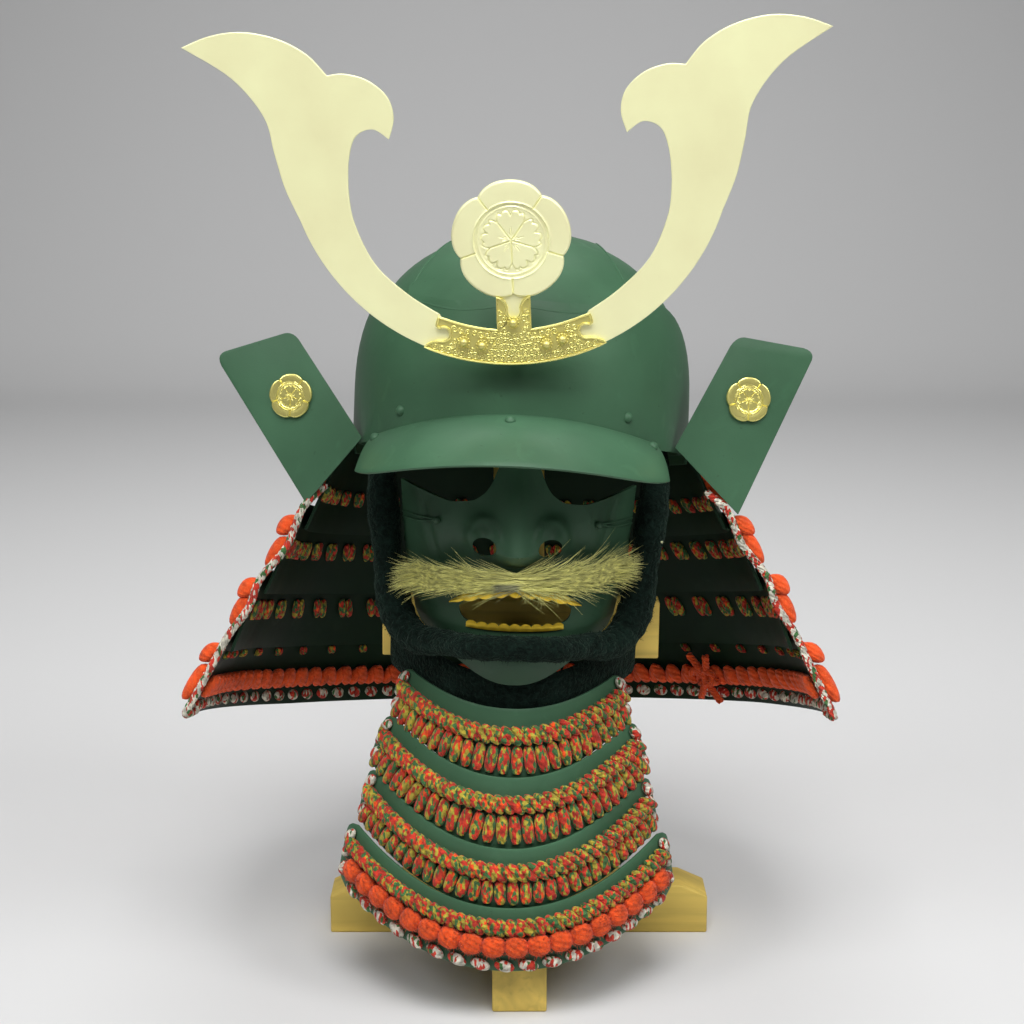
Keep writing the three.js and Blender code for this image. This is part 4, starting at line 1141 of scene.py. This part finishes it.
def neck_band(row, top, low):
    """The place function of a level band on a neck lame."""
    return lambda s, h, out: neck_point(row, s, lerp(top, low, h), out)


def neck_lame(row, edge):
    lame = NECK_LAMES[row]
    band = neck_band(row, lame["top"][0], lame["low"][0])
    obj = laid(108, 5, lambda s, h: band(s, h, 0))
    walled(obj, NECK_LAME, Vector((0, 1, 0.3)))
    eased(obj, edge)
    # Faces that don't look outwards take the second finish: darker lacquer with painted shade.
    for face in obj.data.polygons:
        outer = Vector((face.center.x, face.center.y, 0)).normalized()
        face.material_index = int(face.normal.dot(outer) < 0.7)
    name = f"neck_lame_{row + 1}"
    settle(obj, name, HELMET, "lacquer", second="inner_lacquer")


def neck_lacing(row, lacing):
    """The rope and the loops under it on a lame's outer side."""
    top, low = NECK_LACING[row]
    band = neck_band(row, top, low)
    reach = 0.985
    tall = 0.29 * (top - low)
    pitch, loop_pitch = 1.25 * lacing.rope_pitch / MM, lacing.loop_pitch / MM
    rope = rope_row(band, h=0.2, out=4.6, pitch=pitch, size=9.4, reach=reach)
    loops = loop_row(band, h=0.7, out=4.2, pitch=loop_pitch, width=6.2, thick=7.6, half=tall, reach=reach)
    ends = []
    for s in (-reach, reach):
        over, under = on_surface(band, s, 0.2, 4.8), on_surface(band, s, 0.7, 4.2)
        ends.append(slanted(over, 0.3 * s, across=5.0, thick=6.6, half=7.0))
        ends.append(slanted(under, 0, across=4.4, thick=5.6, half=1.2 * tall))
    name = f"neck_lacing_{row + 1}"
    obj = joined([rope, loops, strung(pod(14, 10, 0.6), ends)])
    settle(obj, name, HELMET, "orange_cord")


INNER_ROWS = [
    {"row": 0, "z": -70, "pitch": 19, "half": 6.0, "reach": 0.975},
    {"row": 1, "z": -103, "pitch": 21, "half": 7.2, "reach": 0.975},
    {"row": 2, "z": -142, "pitch": 26, "half": 7.8, "reach": 0.97},
    {"row": 3, "z": -172, "pitch": 28, "half": 3.4, "reach": 0.96},
]


def inner_stitches():
    """Pairs of slanting stitches where the lacing comes through to the inner side."""
    rows = []
    for spec in INNER_ROWS:
        band = neck_band(spec["row"], spec["z"], spec["z"] - 10)
        depth = -NECK_LAME - 1.4
        places = []
        for s in spaced(band, 0, depth, spec["pitch"], spec["reach"]):
            at, along, down, outer = on_surface(band, s, 0, depth)
            for side in (-1, 1):
                spot = (at + along * (0.4 * spec["half"] * side), along, down, outer)
                places.append(slanted(spot, 0.42, 0.42 * spec["half"], thick=2.6, half=spec["half"]))
        rows.append(strung(pod(10, 8, 0.7), places))
    settle(joined(rows), "inner_stitches", HELMET, "mottled_braid")


def rim_row(lacing):
    """Orange knots along the inner side of the lowest lame: two crossing turns of cord in each."""
    band = neck_band(3, RIM_ROW["top"], RIM_ROW["low"])
    depth = -NECK_LAME - 4.0
    places = []
    for i, s in enumerate(spaced(band, 0.5, depth, lacing.knot_pitch / MM, 0.985)):
        at, along, down, outer = on_surface(band, s, 0.5, depth)
        for side, deep in ((-1, 0.0), (1, -1.2)):
            spot = (at + along * (2.3 * side) + outer * deep, along, down, outer)
            lean = 0.42 * side + 0.06 * sin(5 * i)
            places.append(slanted(spot, lean, across=4.5, thick=3.8, half=8.2))
    obj = strung(pod(10, 8, 0.7), places)
    settle(obj, "neck_rim_row", HELMET, "orange_cord")


def rim_dots():
    """White, red and green dots where the lacing ends at the rim."""
    band = neck_band(3, -200, -210)
    depth = -NECK_LAME - 0.8
    places = []
    for s in spaced(band, 0.4, depth, pitch=14.2, reach=0.97):
        spot = on_surface(band, s, 0.4, depth)
        places.append(slanted(spot, 1.3, across=4.1, thick=2.6, half=5.3))
    obj = strung(pod(12, 8, 0.8), places)
    settle(obj, "rim_dots", HELMET, "edge_braid")


def twisted_cord(points, radius, pitch, number=3, wide=0.62):
    """Strands twisted about a line of points."""
    line = [Vector(p) for p in [points[0], *curve_through(points, 14)]]
    run = [0.0]
    for a, b in zip(line, line[1:]):
        run.append(run[-1] + (b - a).length)
    lines = []
    for k in range(number):
        strand = []
        for i, at in enumerate(line):
            ahead = (line[min(i + 1, len(line) - 1)] - line[max(i - 1, 0)]).normalized()
            side = ahead.cross(Vector((0, 1, 0.2))).normalized()
            up = side.cross(ahead)
            angle = 2 * pi * (run[i] / pitch + k / number)
            strand.append((at + (side * cos(angle) + up * sin(angle)) * radius * (1 - wide), 1.0))
        lines.append(strand)
    return strands(lines, 2 * wide * radius, rounding=1)


def edge_cord(side):
    """The cord down the lames' front edges, which turns under the lowest corner and back along the rim."""
    points = []
    before = Vector((0, EDGE_CORD["before"], 0))
    for z in EDGE_CORD_HEIGHTS:
        row = max(i for i, lame in enumerate(NECK_LAMES) if lame["top"][0] >= z - 6)
        points.append(tuple(neck_point(row, side, z, -EDGE_CORD["in"]) - before))
    points.append(tuple(neck_point(3, side * 0.98, -209, -3)))
    points.append(tuple(neck_point(3, side * 0.95, -207, -5)))
    return twisted_cord(points, EDGE_CORD["radius"], EDGE_CORD["twist"])


def rim_tie():
    """The orange tie inside the rim: a knot over four short ends."""
    depth = -NECK_LAME - 11.5

    def at(across, up):
        return tuple(neck_point(3, RIM_TIE["s"] + across / 250, RIM_TIE["z"] + up, depth))

    routes = [
        [(-6, 17), (-2, 8), (0, 0), (-6, -14)],
        [(5, 16), (3, 8), (0, 0), (5, -17)],
        [(-8, 3), (-4, 6), (0, 1), (4, -3), (8, -2)],
        [(-5, 4), (0, 6), (5, 3), (3, -4), (-4, -3)],
    ]
    cords = [twisted_cord([at(*spot) for spot in route], 2.8, 9) for route in routes]
    settle(joined(cords), "neck_rim_bow", HELMET, "orange_cord")


# ---- The face guard ----


def mask_half(z):
    return look_up(MASK_WIDTH, z)


def mask_y(x, z):
    """How far forward the face guard's outer face lies."""
    side = abs(x)
    wrap = min(side / mask_half(z), 1.02) ** MASK["power"]
    front = -109 - 4 * hill(z + 45, 22) - 3 * hill(z - 50, 20)
    along = step(78, z, 58)
    bridge = lerp(9, 27, along**1.3) * step(z, 8, 12) ** 0.6
    nose = bridge * hill(side, lerp(10, 16, along))
    forms = 0
    for form in MASK_FORMS.values():
        across, up = hill(side - form["x"], form["wide"]), hill(z - form["z"], form["tall"])
        forms += form["proud"] * across * up
    return lerp(front, MASK["side_y"], wrap) - nose - forms


def mask_detail(x, z):
    """Low relief on the outer face: nostril rims, a fold beside each cheek and one over the chin."""
    side = abs(x)
    from_rim = sqrt((side - 20.5) ** 2 + ((z - 26) / 1.35) ** 2) - 9.8
    rim = 1.9 * hill(from_rim, 1.6) * step(z, 20, 8)
    crease = lerp(40, 60, step(z, -6, 54) ** 0.7)
    fold = 1.3 * hill(side - crease, 2.2) - 0.9 * hill(side - crease - 5, 3.5)
    chin_line = 0.8 * hill(z + 37 + 0.004 * side**2, 2.2) * hill(side, 36)
    return rim - fold * step(z, -10, 10) * step(50, z, 8) - chin_line


def scoop_top(x):
    """The upper edge of the face guard, with the corners of its table smoothed."""
    return sum(look_up(MASK_TOP, abs(x + aside)) for aside in (-3, -1.5, 0, 1.5, 3)) / 5


def mask_point(s, h):
    top = scoop_top(74 * s)
    low = CHIN["z"] + CHIN["rise"] * abs(s) ** CHIN["power"]
    z = lerp(top, low, h)
    x = s * mask_half(z)
    return Vector((x, mask_y(x, z) - mask_detail(x, z), z))


def mouth_outline():
    half, corner, top, floor, low = (MOUTH[key] for key in ("half", "corner", "top", "floor", "floor_half"))
    line = [(-half, corner)]
    line += bow(line[-1], (-24, top), (0, top - 1), 12)
    line += bow(line[-1], (24, top), (half, corner), 12)
    line += bow(line[-1], (half, floor), (low - 4, floor), 8)
    line.append((4 - low, floor))
    return line + bow(line[-1], (-half, floor), (-half, corner), 8)[:-1]


def mask(edge):
    obj = walled(laid(120, 100, mask_point), MASK["thick"], Vector((0, -1, 0)))
    carve(obj, cut_plate(mouth_outline(), -170, 100))
    for side in (-1, 1):
        x, across, high = side * NOSTRIL["x"], NOSTRIL["across"], NOSTRIL["high"]
        ring = arc((0, 0), 1, 0, 2 * pi, 36)[:-1]
        hole = [(x + across * a, NOSTRIL["z"] + high * b) for a, b in ring]
        carve(obj, cut_plate(hole, -170, 100))
    # Its finish is the lacquer with the shade under the peak painted in.
    settle(eased(obj, edge, 2, 50), "mask", FACE, "face_lacquer", smooth=50)


def mask_pegs():
    """A hairpin of wire with a round head on each cheek, and a cord hook at each side."""
    parts = []
    for side in (-1, 1):
        for drop in (0, 3.2):
            rod = []
            for t in [i / 7 for i in range(8)]:
                x, z = lerp(72, 50, t), lerp(31, 34, t) - drop * (1 - t**3)
                rod.append(((side * x, mask_y(x, z) - 1.2, z), 1))
            parts.append(strands([rod], 1.3, rounding=2))
        head = ball(16, 10, (2.5, 2.2, 2.3))
        head.data.transform(Matrix.Translation((side * 49.5, mask_y(49.5, 34) - 1.6, 33.6)))
        parts.append(head)
    # The pegs share the face guard's lacquer with painted shade.
    settle(joined(parts), "mask_pegs", FACE, "face_lacquer")
    hooks = []
    for x, z, side in ((-86.5, 17, -1), (90, 13, 1)):
        turn = arc((x, z), 4.2, pi / 2 - 0.4 * side, pi / 2 + side * 2.6, 10)
        hooks.append([((u, -67 + 0.4 * i, v), 1) for i, (u, v) in enumerate(turn)])
    hooks = [strands([hook], 1.5, rounding=2) for hook in hooks]
    settle(joined(hooks), "cord_hooks", FACE, "pale_gold")


def upper_teeth_point(s, h):
    tooth = abs(sin(pi * 9 * (s + 1) / 2))
    top = -2.2 - 15.5 * abs(s) ** 2.4
    low = top - 0.6 - (5.5 + 1.6 * tooth) * (1 - s**4)
    z = lerp(top, low, h)
    bulge = 0.7 * tooth * sin(pi * h)
    return Vector((41 * s, mask_y(41 * s, z) - 1.5 - bulge, z))


def lower_teeth_point(s, h):
    tooth = abs(sin(pi * 9 * (s + 1) / 2)) ** 0.7
    z = lerp(-28.0 + 1.9 * tooth, -30.8, h)
    return Vector((30 * s, mask_y(30 * s, -30) - 1.5 - 0.5 * tooth * sin(pi * h), z))


def moustache_strand(dice, side):
    """One hair from the lip outwards: the right half is the more ruffled."""
    reach = MOUSTACHE["reach"]
    ruffled, lift = (0.24, 2.0) if side > 0 else (0.1, -10.5)
    start = MOUSTACHE["root"] + MOUSTACHE["roots"] * dice.random() ** 1.3
    spread = dice.uniform(-1, 1)
    angle = 0.1 * spread + dice.gauss(0, ruffled)
    long = dice.uniform(16, 36) * (1 - 0.3 * abs(angle))
    long = max(6.0, min(long, reach + dice.gauss(0, 2.5) - start))
    bend = dice.gauss(0, 0.12)
    proud = dice.uniform(-4.2, 4.2)
    root_z = MOUSTACHE["z"] + spread * lerp(MOUSTACHE["thin"], MOUSTACHE["thick"], step(start, 0, 30))
    line = []
    for t in [i / 6 for i in range(7)]:
        x = start + long * t * cos(angle)
        way = max(0, x) / reach
        z = root_z + long * (t * sin(angle) + bend * t**2) + lift * way**2
        face = mask_y(clamp(x, 0, 62), 6) - MOUSTACHE["stand"] + 0.35 * max(0, x - 62)
        line.append(((side * x, face + proud * (0.5 + 0.5 * t), z), 1.1 - 0.95 * t**1.5))
    return line


def lip_strand(dice):
    """A loose hair that hangs over the teeth."""
    x = dice.choice((dice.uniform(4, 38), dice.uniform(8, 24), dice.uniform(-46, -36)))
    long = dice.uniform(9, 19)
    lean = dice.gauss(-1, 4)
    front = mask_y(x, -4) - 16.5
    line = []
    for t in [i / 5 for i in range(6)]:
        line.append(((x + lean * t, front + 2.5 * t, 2 - long * t + 2 * t * t), 1.0 - 0.8 * t))
    return line


def chin_route():
    """The chin cord's line from behind the head round and back, its ends a little apart."""
    half = [
        (0, mask_y(0, -39) - 9.6, -39),
        (24, mask_y(24, -40) - 12, -40),
        (44, mask_y(44, -43) - 13.5, -43),
        (58, -88, -45.5),
        (68, -78, -41),
        (75, -71, -30),
        (79, -66, -13),
        (82, -62, 9),
        (85, -57, 34),
        (87, -44, 58),
        (86, -18, 72),
        (80, 24, 72),
        (58, 66, 64),
        (30, 88, 58),
        (0, 95, 56),
    ]
    left = [(-x, y, z) for x, y, z in half[1:-1]]
    loop = [*reversed(half[1:]), half[0], *left]
    line = [loop[0], *curve_through([*loop, loop[0]], 12)]
    ends_apart = 3
    return [Vector(point) for point in line[:-ends_apart]]


def tufts(obj, number, tall, wide, seed):
    """Short tufts that stand out of a mesh, as one piece."""
    dice = random.Random(seed)
    faces = list(obj.data.polygons)
    lines = []
    for face in dice.choices(faces, [face.area for face in faces], k=number):
        first, second = (obj.data.vertices[face.vertices[i]].co - face.center for i in (0, 1))
        at = face.center + first * dice.uniform(-0.7, 0.7) + second * dice.uniform(-0.7, 0.7)
        lean = Vector([dice.gauss(0, 0.8) for _ in range(3)])
        tip = at + (face.normal + lean) * tall * dice.uniform(0.5, 1.1)
        lines.append([(at - face.normal * 0.3, 1.0), (at.lerp(tip, 0.6), 0.8), (tip, 0.15)])
    return strands(lines, wide)


# ---- The throat guard ----


def band_point(top, low, s, h, out):
    """A point of a curved band: s across, h down it, and out from its outer face."""
    half, y, rise = (lerp(top[key], low[key], h) for key in ("half", "y", "rise"))
    depth = lerp(top["end"], low["end"], h) - y
    power = 2.2
    slope = power * depth * abs(s) ** (power - 1) * (1 if s > 0 else -1)
    normal = Vector((slope, -half, 0)).normalized()
    at = Vector((half * s, y + depth * abs(s) ** power, lerp(top["z"], low["z"], h) + rise * s**2))
    return at + normal * out


def throat_band(row, top=0.0, low=1.0):
    return lambda s, h, out: band_point(*THROAT_LAMES[row], s, lerp(top, low, h), out)


def throat_lame(row, edge):
    band = throat_band(row)
    obj = laid(72, 16, lambda s, h: band(s * (1 - 0.055 * abs(2 * h - 1) ** 7), h, 0))
    walled(obj, THROAT_LAME, Vector((0, -1, 0)))
    name = f"throat_lame_{row + 1}"
    settle(eased(obj, edge), name, FACE, "lacquer")


def throat_lacing(row, lacing):
    """A mottled rope with a row of loops under it."""
    top, low = THROAT_LACING[row]
    band = throat_band(row, top, low)
    tall = (band(0, 0, 0) - band(0, 1, 0)).length
    pitch, loop_pitch = 1.2 * lacing.rope_pitch / MM, 1.3 * lacing.loop_pitch / MM
    row_ends = {"segments": 14, "reach": 0.95}
    rope = rope_row(band, h=0.2, out=3.8, pitch=pitch, size=9.6, slant=0.85, **row_ends)
    sizes = {"width": 7.7, "thick": 6.4, "half": 0.29 * tall}
    loops = loop_row(band, h=0.69, out=3.2, pitch=loop_pitch, fan=0.5, **sizes, **row_ends)
    name = f"throat_lacing_{row + 1}"
    settle(joined([rope, loops]), name, FACE, "mottled_braid")


def throat_hem(lacing):
    """The lowest row: a mottled rope and orange knots under it."""
    band = throat_band(3, *THROAT_LACING[3])
    pitch = 1.2 * lacing.rope_pitch / MM
    rope = rope_row(band, h=0.13, out=3.2, pitch=pitch, size=8.8, segments=14, reach=0.95, slant=0.85)
    settle(rope, "throat_lacing_4_rope", FACE, "mottled_braid", stands_for="throat_lacing_4")
    places = []
    for i, s in enumerate(spaced(band, 0.62, 4.2, pitch=14.2, reach=0.93)):
        spot = on_surface(band, s, 0.62, 4.2)
        lean = 0.5 * s + 0.14 * sin(4 * i)
        places.append(slanted(spot, lean, across=7.6, thick=5.0, half=6.2))
    knots = strung(pod(18, 12, 0.7), places)
    fluff = tufts(knots, 5200, tall=1.5, wide=0.3, seed=5)
    settle(joined([knots, fluff]), "throat_hem_knots", FACE, "orange_cord")


def throat_dots():
    """White and red bits at the lames' ends and along the hem."""
    places = []
    hem = throat_band(3, 0.9, 0.99)
    for s in spaced(hem, 0, 1.8, pitch=15.2, reach=0.93):
        places.append(slanted(on_surface(hem, s, 0, 1.8), 1.35, across=3.7, thick=2.6, half=6.4))
    for row in range(4):
        band = throat_band(row)
        for s in (-0.955, 0.955):
            for h in (0.18, 0.42, 0.7):
                spot = on_surface(band, s, h, 2.4)
                places.append(slanted(spot, 0.5 * s, across=3.6, thick=3.0, half=5.3))
    settle(strung(ball(12, 8), places), "throat_dots", FACE, "edge_braid")


def throat_backing(hair):
    """The velvet that lines the top of the throat guard, rounded over at its edges."""

    def swell(s, h):
        return band_point(*BACKING, s, h, 0.2 - 1.6 * abs(2 * h - 1) ** 6)

    obj = walled(laid(60, 12, swell), 1.6, Vector((0, -1, 0)))
    pile = tufts(obj, 2500, tall=hair.pile_height / MM * 0.6, wide=0.3, seed=11)
    obj = settle(joined([obj, pile]), "throat_backing", FACE, "velvet", "throat_backing")


# ---- Operators ----


class KABUTO_OT_finishes(bpy.types.Operator):
    """Make the lacquer, gilding, cords, velvet, hair and pine"""

    bl_idname = "kabuto.finishes"
    bl_label = "Finishes"

    def execute(self, context):
        make_finishes(context.scene)
        return {"FINISHED"}


class KABUTO_OT_stage(bpy.types.Operator):
    """Lay the pale floor, hang the lamps and set the camera"""

    bl_idname = "kabuto.stage"
    bl_label = "Stage"

    def execute(self, context):
        stage = context.scene.kabuto_stage
        lay_floor()
        hang_lamps(stage.light)
        aim_camera(context.scene, stage.distance, stage.height)
        return {"FINISHED"}


def lay_floor():
    """A floor that sweeps up into a backdrop."""

    def place(s, h):
        run = 7 * h - 3
        rise = max(0.0, run - 2.4)
        return Vector((4 * s, min(run, 2.4 + 1.2 * sin(min(rise, 1.6) / 1.6 * pi / 2)), 1.1 * rise**1.6))

    floor = laid(2, 60, place)
    floor.name = "floor"
    floor.data.materials.append(FINISHES["stage_paint"])
    for face in floor.data.polygons:
        face.use_smooth = True


def hang_lamps(power):
    """Soft panels: (name, place, size, watts), each turned to the helmet."""
    panels = [
        ("top", (0.0, -0.8, 1.7), 0.9, 23),
        ("left", (-1.3, -0.9, 1.5), 0.7, 8),
        ("right", (1.3, -0.8, 1.5), 0.7, 12),
        ("front", (0.0, -1.9, 1.9), 1.2, 9),
        ("backdrop", (0.0, 0.9, 1.9), 1.4, 24),
    ]
    for name, at, size, watts in panels:
        bpy.ops.object.select_all(action="DESELECT")
        bpy.ops.object.light_add(type="AREA", location=at)
        lamp = bpy.context.object
        lamp.name = "lamp_" + name
        lamp.data.size = size
        lamp.data.energy = watts * power
        aim = Vector((0, 0.0 if at[1] < 0 else 2.2, 0.33)) - Vector(at)
        lamp.rotation_euler = aim.to_track_quat("-Z", "Y").to_euler()
    world = bpy.data.worlds.new("studio")
    world.use_nodes = True
    world.node_tree.nodes["Background"].inputs["Color"].default_value = (0.75, 0.77, 0.8, 1)
    world.node_tree.nodes["Background"].inputs["Strength"].default_value = 0.03 * power
    bpy.context.scene.world = world


def aim_camera(scene, distance, height):
    target = Vector((-4.6, 0, 289.3)) * MM
    at = target + Vector((0, -cos(height), sin(height))) * distance
    bpy.ops.object.camera_add(location=at, rotation=(pi / 2 - height, 0, 0))
    camera = bpy.context.object
    camera.data.sensor_width = 36
    camera.data.lens = 71.9
    camera.data.clip_start = 0.05
    scene.camera = camera
    scene.view_settings.view_transform = "Standard"


class KABUTO_OT_bowl(bpy.types.Operator):
    """Spin the bowl's domes and cut them into riveted plates"""

    bl_idname = "kabuto.bowl"
    bl_label = "Bowl"

    def execute(self, context):
        metal = context.scene.kabuto_metal
        bowl_plates(metal.edge / MM)
        edge_rolls()
        feathered_edge()
        base_band(metal.edge / MM)
        for name, x in RIVETS.items():
            rivet(name, forehead_point(x, RIVET_Z, 0), forehead_normal(x), metal.rivet / MM)
        return {"FINISHED"}


class KABUTO_OT_peak(bpy.types.Operator):
    """Lay the peak under the brow and rivet it on"""

    bl_idname = "kabuto.peak"
    bl_label = "Peak"

    def execute(self, context):
        metal = context.scene.kabuto_metal
        obj = walled(laid(96, 12, peak_point), PEAK["thick"], Vector((0, -0.5, 1)))
        settle(eased(obj, metal.edge / MM), "peak", HELMET, "lacquer")
        for name, (s, h) in PEAK_RIVETS.items():
            rivet("peak_rivet_" + name, peak_point(s, h), peak_normal(s, h), metal.rivet / MM)
        return {"FINISHED"}


class KABUTO_OT_wings(bpy.types.Operator):
    """Cut the turned-back wings and set a flower badge on each"""

    bl_idname = "kabuto.wings"
    bl_label = "Wings"

    def execute(self, context):
        edge = context.scene.kabuto_metal.edge / MM
        for name, wing in WINGS.items():
            side = wing["side"]
            plate = cut_plate(wing_outline(wing), 0, WING["thick"])
            for vertex in plate.data.vertices:
                vertex.co.y += wing_y(vertex.co.x)
                vertex.co.x *= side
            settle(eased(outward(plate), edge), "wing_" + name, HELMET, "lacquer")
            x, z = wing["badge"]
            badge = flower_disc(BADGE["radius"], BADGE["thick"] - 0.4, relief=1.3, fine=120)
            turn = Matrix.Rotation(side * atan2(WING["sweep"], 1), 4, "Z")
            at = (side * x, wing_y(x) - BADGE["thick"], z)
            badge.data.transform(Matrix.Translation(at) @ turn)
            settle(outward(badge), "wing_badge_" + name, HELMET, "gold")
        return {"FINISHED"}


class KABUTO_OT_crest(bpy.types.Operator):
    """Cut the horns, raise the flower disc, and engrave the holder with its studs"""

    bl_idname = "kabuto.crest"
    bl_label = "Crest"

    def execute(self, context):
        edge = context.scene.kabuto_metal.edge / MM
        for name, side in (("crest_horn_left", -1), ("crest_horn_right", 1)):
            horn = cut_plate([(side * x, z) for x, z in horn_outline()], 0, HORN["thick"])
            settle(eased(horn, edge), name, CREST, "pale_gold", smooth=20)
        disc = flower_disc(DISC["radius"], DISC["thick"], relief=2.0, fine=240)
        disc.data.transform(Matrix.Translation((0, 0, DISC["z"])))
        tang = cut_plate([(-7.5, 22), (7.5, 22), (7.5, 45), (-7.5, 45)], 0.1, DISC["thick"] - 0.2)
        settle(joined([disc, tang]), "crest_disc", CREST, "pale_gold")
        crest_holder()
        for i, (x, z) in enumerate(STUDS):
            settle(crest_stud(x, z), f"crest_stud_{i + 1}", CREST, "old_gold")
        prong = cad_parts["crest_prong"].data
        prong.materials.clear()
        prong.materials.append(FINISHES["lacquer"])
        return {"FINISHED"}


class KABUTO_OT_neck_guard(bpy.types.Operator):
    """Hang the lames and lace them outside and in"""

    bl_idname = "kabuto.neck_guard"
    bl_label = "Neck guard"

    def execute(self, context):
        edge = context.scene.kabuto_metal.edge / MM
        lacing = context.scene.kabuto_lacing
        for row in range(len(NECK_LAMES)):
            neck_lame(row, edge)
            neck_lacing(row, lacing)
        inner_stitches()
        rim_row(lacing)
        rim_dots()
        for name, side in (("neck_edge_cord_left", -1), ("neck_edge_cord_right", 1)):
            settle(edge_cord(side), name, HELMET, "edge_braid")
        rim_tie()
        return {"FINISHED"}


class KABUTO_OT_mask(bpy.types.Operator):
    """Shape the face guard, pierce it and gild its teeth"""

    bl_idname = "kabuto.mask"
    bl_label = "Face guard"

    def execute(self, context):
        mask(context.scene.kabuto_metal.edge / MM)
        mask_pegs()
        rows = {"upper_teeth": (144, upper_teeth_point), "lower_teeth": (96, lower_teeth_point)}
        for name, (columns, point) in rows.items():
            obj = walled(laid(columns, 8, point), 1.0, Vector((0, -1, 0)))
            settle(obj, name, FACE, "deep_gold")
        return {"FINISHED"}


class KABUTO_OT_moustache(bpy.types.Operator):
    """Plant the moustache, strand by strand"""

    bl_idname = "kabuto.moustache"
    bl_label = "Moustache"

    def execute(self, context):
        hair = context.scene.kabuto_hair
        for name, side, seed in (("moustache_left", -1, 3), ("moustache_right", 1, 4)):
            dice = random.Random(seed)
            lines = [moustache_strand(dice, side) for _ in range(hair.strands)]
            if side > 0:
                lines += [lip_strand(dice) for _ in range(60)]
            obj = strands(lines, hair.width / MM)
            settle(obj, name, FACE, "moustache_hair")
        return {"FINISHED"}


class KABUTO_OT_chin_cord(bpy.types.Operator):
    """Lead the velvet cord round the face guard and raise its pile"""

    bl_idname = "kabuto.chin_cord"
    bl_label = "Chin cord"

    def execute(self, context):
        hair = context.scene.kabuto_hair
        route = chin_route()
        line = []
        for i, at in enumerate(route):
            jaw = hill(at.z + 28, 24) * step(abs(at.x), 40, 25)
            temple = hill(at.z - 30, 22) * step(-at.y, 0, 50)
            line.append((at, 1 + 0.04 * sin(0.9 * i) + 0.42 * jaw + 0.3 * temple))
        cord = strands([line], 2 * CHIN_CORD, rounding=4)
        pile = tufts(cord, hair.pile, tall=hair.pile_height / MM, wide=0.26, seed=7)
        settle(pile, "chin_cord_pile", FACE, "velvet")
        settle(cord, "chin_cord", FACE, "velvet", smooth=80)
        path = [FACE @ at for at in route]
        run = sum((b - a).length for a, b in zip(path, path[1:]))
        tuple(path[0])
        [tuple(at) for at in path]
        return {"FINISHED"}


class KABUTO_OT_throat_guard(bpy.types.Operator):
    """Hang the throat guard's lames, lace them and line their top"""

    bl_idname = "kabuto.throat_guard"
    bl_label = "Throat guard"

    def execute(self, context):
        edge = context.scene.kabuto_metal.edge / MM
        lacing = context.scene.kabuto_lacing
        for row in range(len(THROAT_LAMES)):
            throat_lame(row, edge)
        for row in range(3):
            throat_lacing(row, lacing)
        throat_hem(lacing)
        throat_dots()
        throat_backing(context.scene.kabuto_hair)
        return {"FINISHED"}


class KABUTO_OT_stand(bpy.types.Operator):
    """Ease the timbers' edges and give them their grain"""

    bl_idname = "kabuto.stand"
    bl_label = "Stand"

    def execute(self, context):
        edge = context.scene.kabuto_stand.edge
        timbers = {
            "stand_cross_beam": "pine_across",
            "stand_long_beam": "pine_along",
            "stand_post": "pine_upright",
            "stand_shoulder_board": "pine_across",
            "stand_mask_arm": "pine_along",
            "stand_head_block": "pine_upright",
        }
        for name, finish in timbers.items():
            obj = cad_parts[name].copy()
            obj.data = obj.data.copy()
            bpy.context.collection.objects.link(obj)
            obj.parent = None
            edited(obj, (bpy.ops.mesh.remove_doubles, {"threshold": 1e-6}))
            edited(obj, (bpy.ops.mesh.dissolve_limited, {"angle_limit": radians(1)}))
            eased(obj, edge, 3, 30)
            settle(obj, name + "_timber", Matrix.Identity(4), finish, name)
        return {"FINISHED"}


class KABUTO_PT_panel(bpy.types.Panel):
    """Lists the pieces and the settings they use"""

    bl_idname = "KABUTO_PT_panel"
    bl_label = "Kabuto"
    bl_space_type = "VIEW_3D"
    bl_region_type = "UI"
    bl_category = "Kabuto"

    def draw(self, context):
        for name, group in SETTINGS.items():
            box = self.layout.box()
            settings = getattr(context.scene, name)
            for key in group.__annotations__:
                box.prop(settings, key)
        for operator in OPERATORS:
            self.layout.operator(operator.bl_idname)


SETTINGS = {
    "kabuto_metal": KabutoMetal,
    "kabuto_lacing": KabutoLacing,
    "kabuto_hair": KabutoHair,
    "kabuto_stand": KabutoStand,
    "kabuto_stage": KabutoStage,
}
OPERATORS = [
    KABUTO_OT_finishes,
    KABUTO_OT_stage,
    KABUTO_OT_chin_cord,
    KABUTO_OT_bowl,
    KABUTO_OT_peak,
    KABUTO_OT_wings,
    KABUTO_OT_crest,
    KABUTO_OT_neck_guard,
    KABUTO_OT_mask,
    KABUTO_OT_moustache,
    KABUTO_OT_throat_guard,
    KABUTO_OT_stand,
]


def register():
    for group in (*SETTINGS.values(), *OPERATORS, KABUTO_PT_panel):
        bpy.utils.register_class(group)
    for name, group in SETTINGS.items():
        setattr(bpy.types.Scene, name, bpy.props.PointerProperty(type=group))


def unregister():
    for name in SETTINGS:
        delattr(bpy.types.Scene, name)
    for group in reversed((*SETTINGS.values(), *OPERATORS, KABUTO_PT_panel)):
        bpy.utils.unregister_class(group)


def main():
    register()
    for operator in OPERATORS:
        family, name = operator.bl_idname.split(".")
        getattr(getattr(bpy.ops, family), name)()


if __name__ == "__main__":
    main()
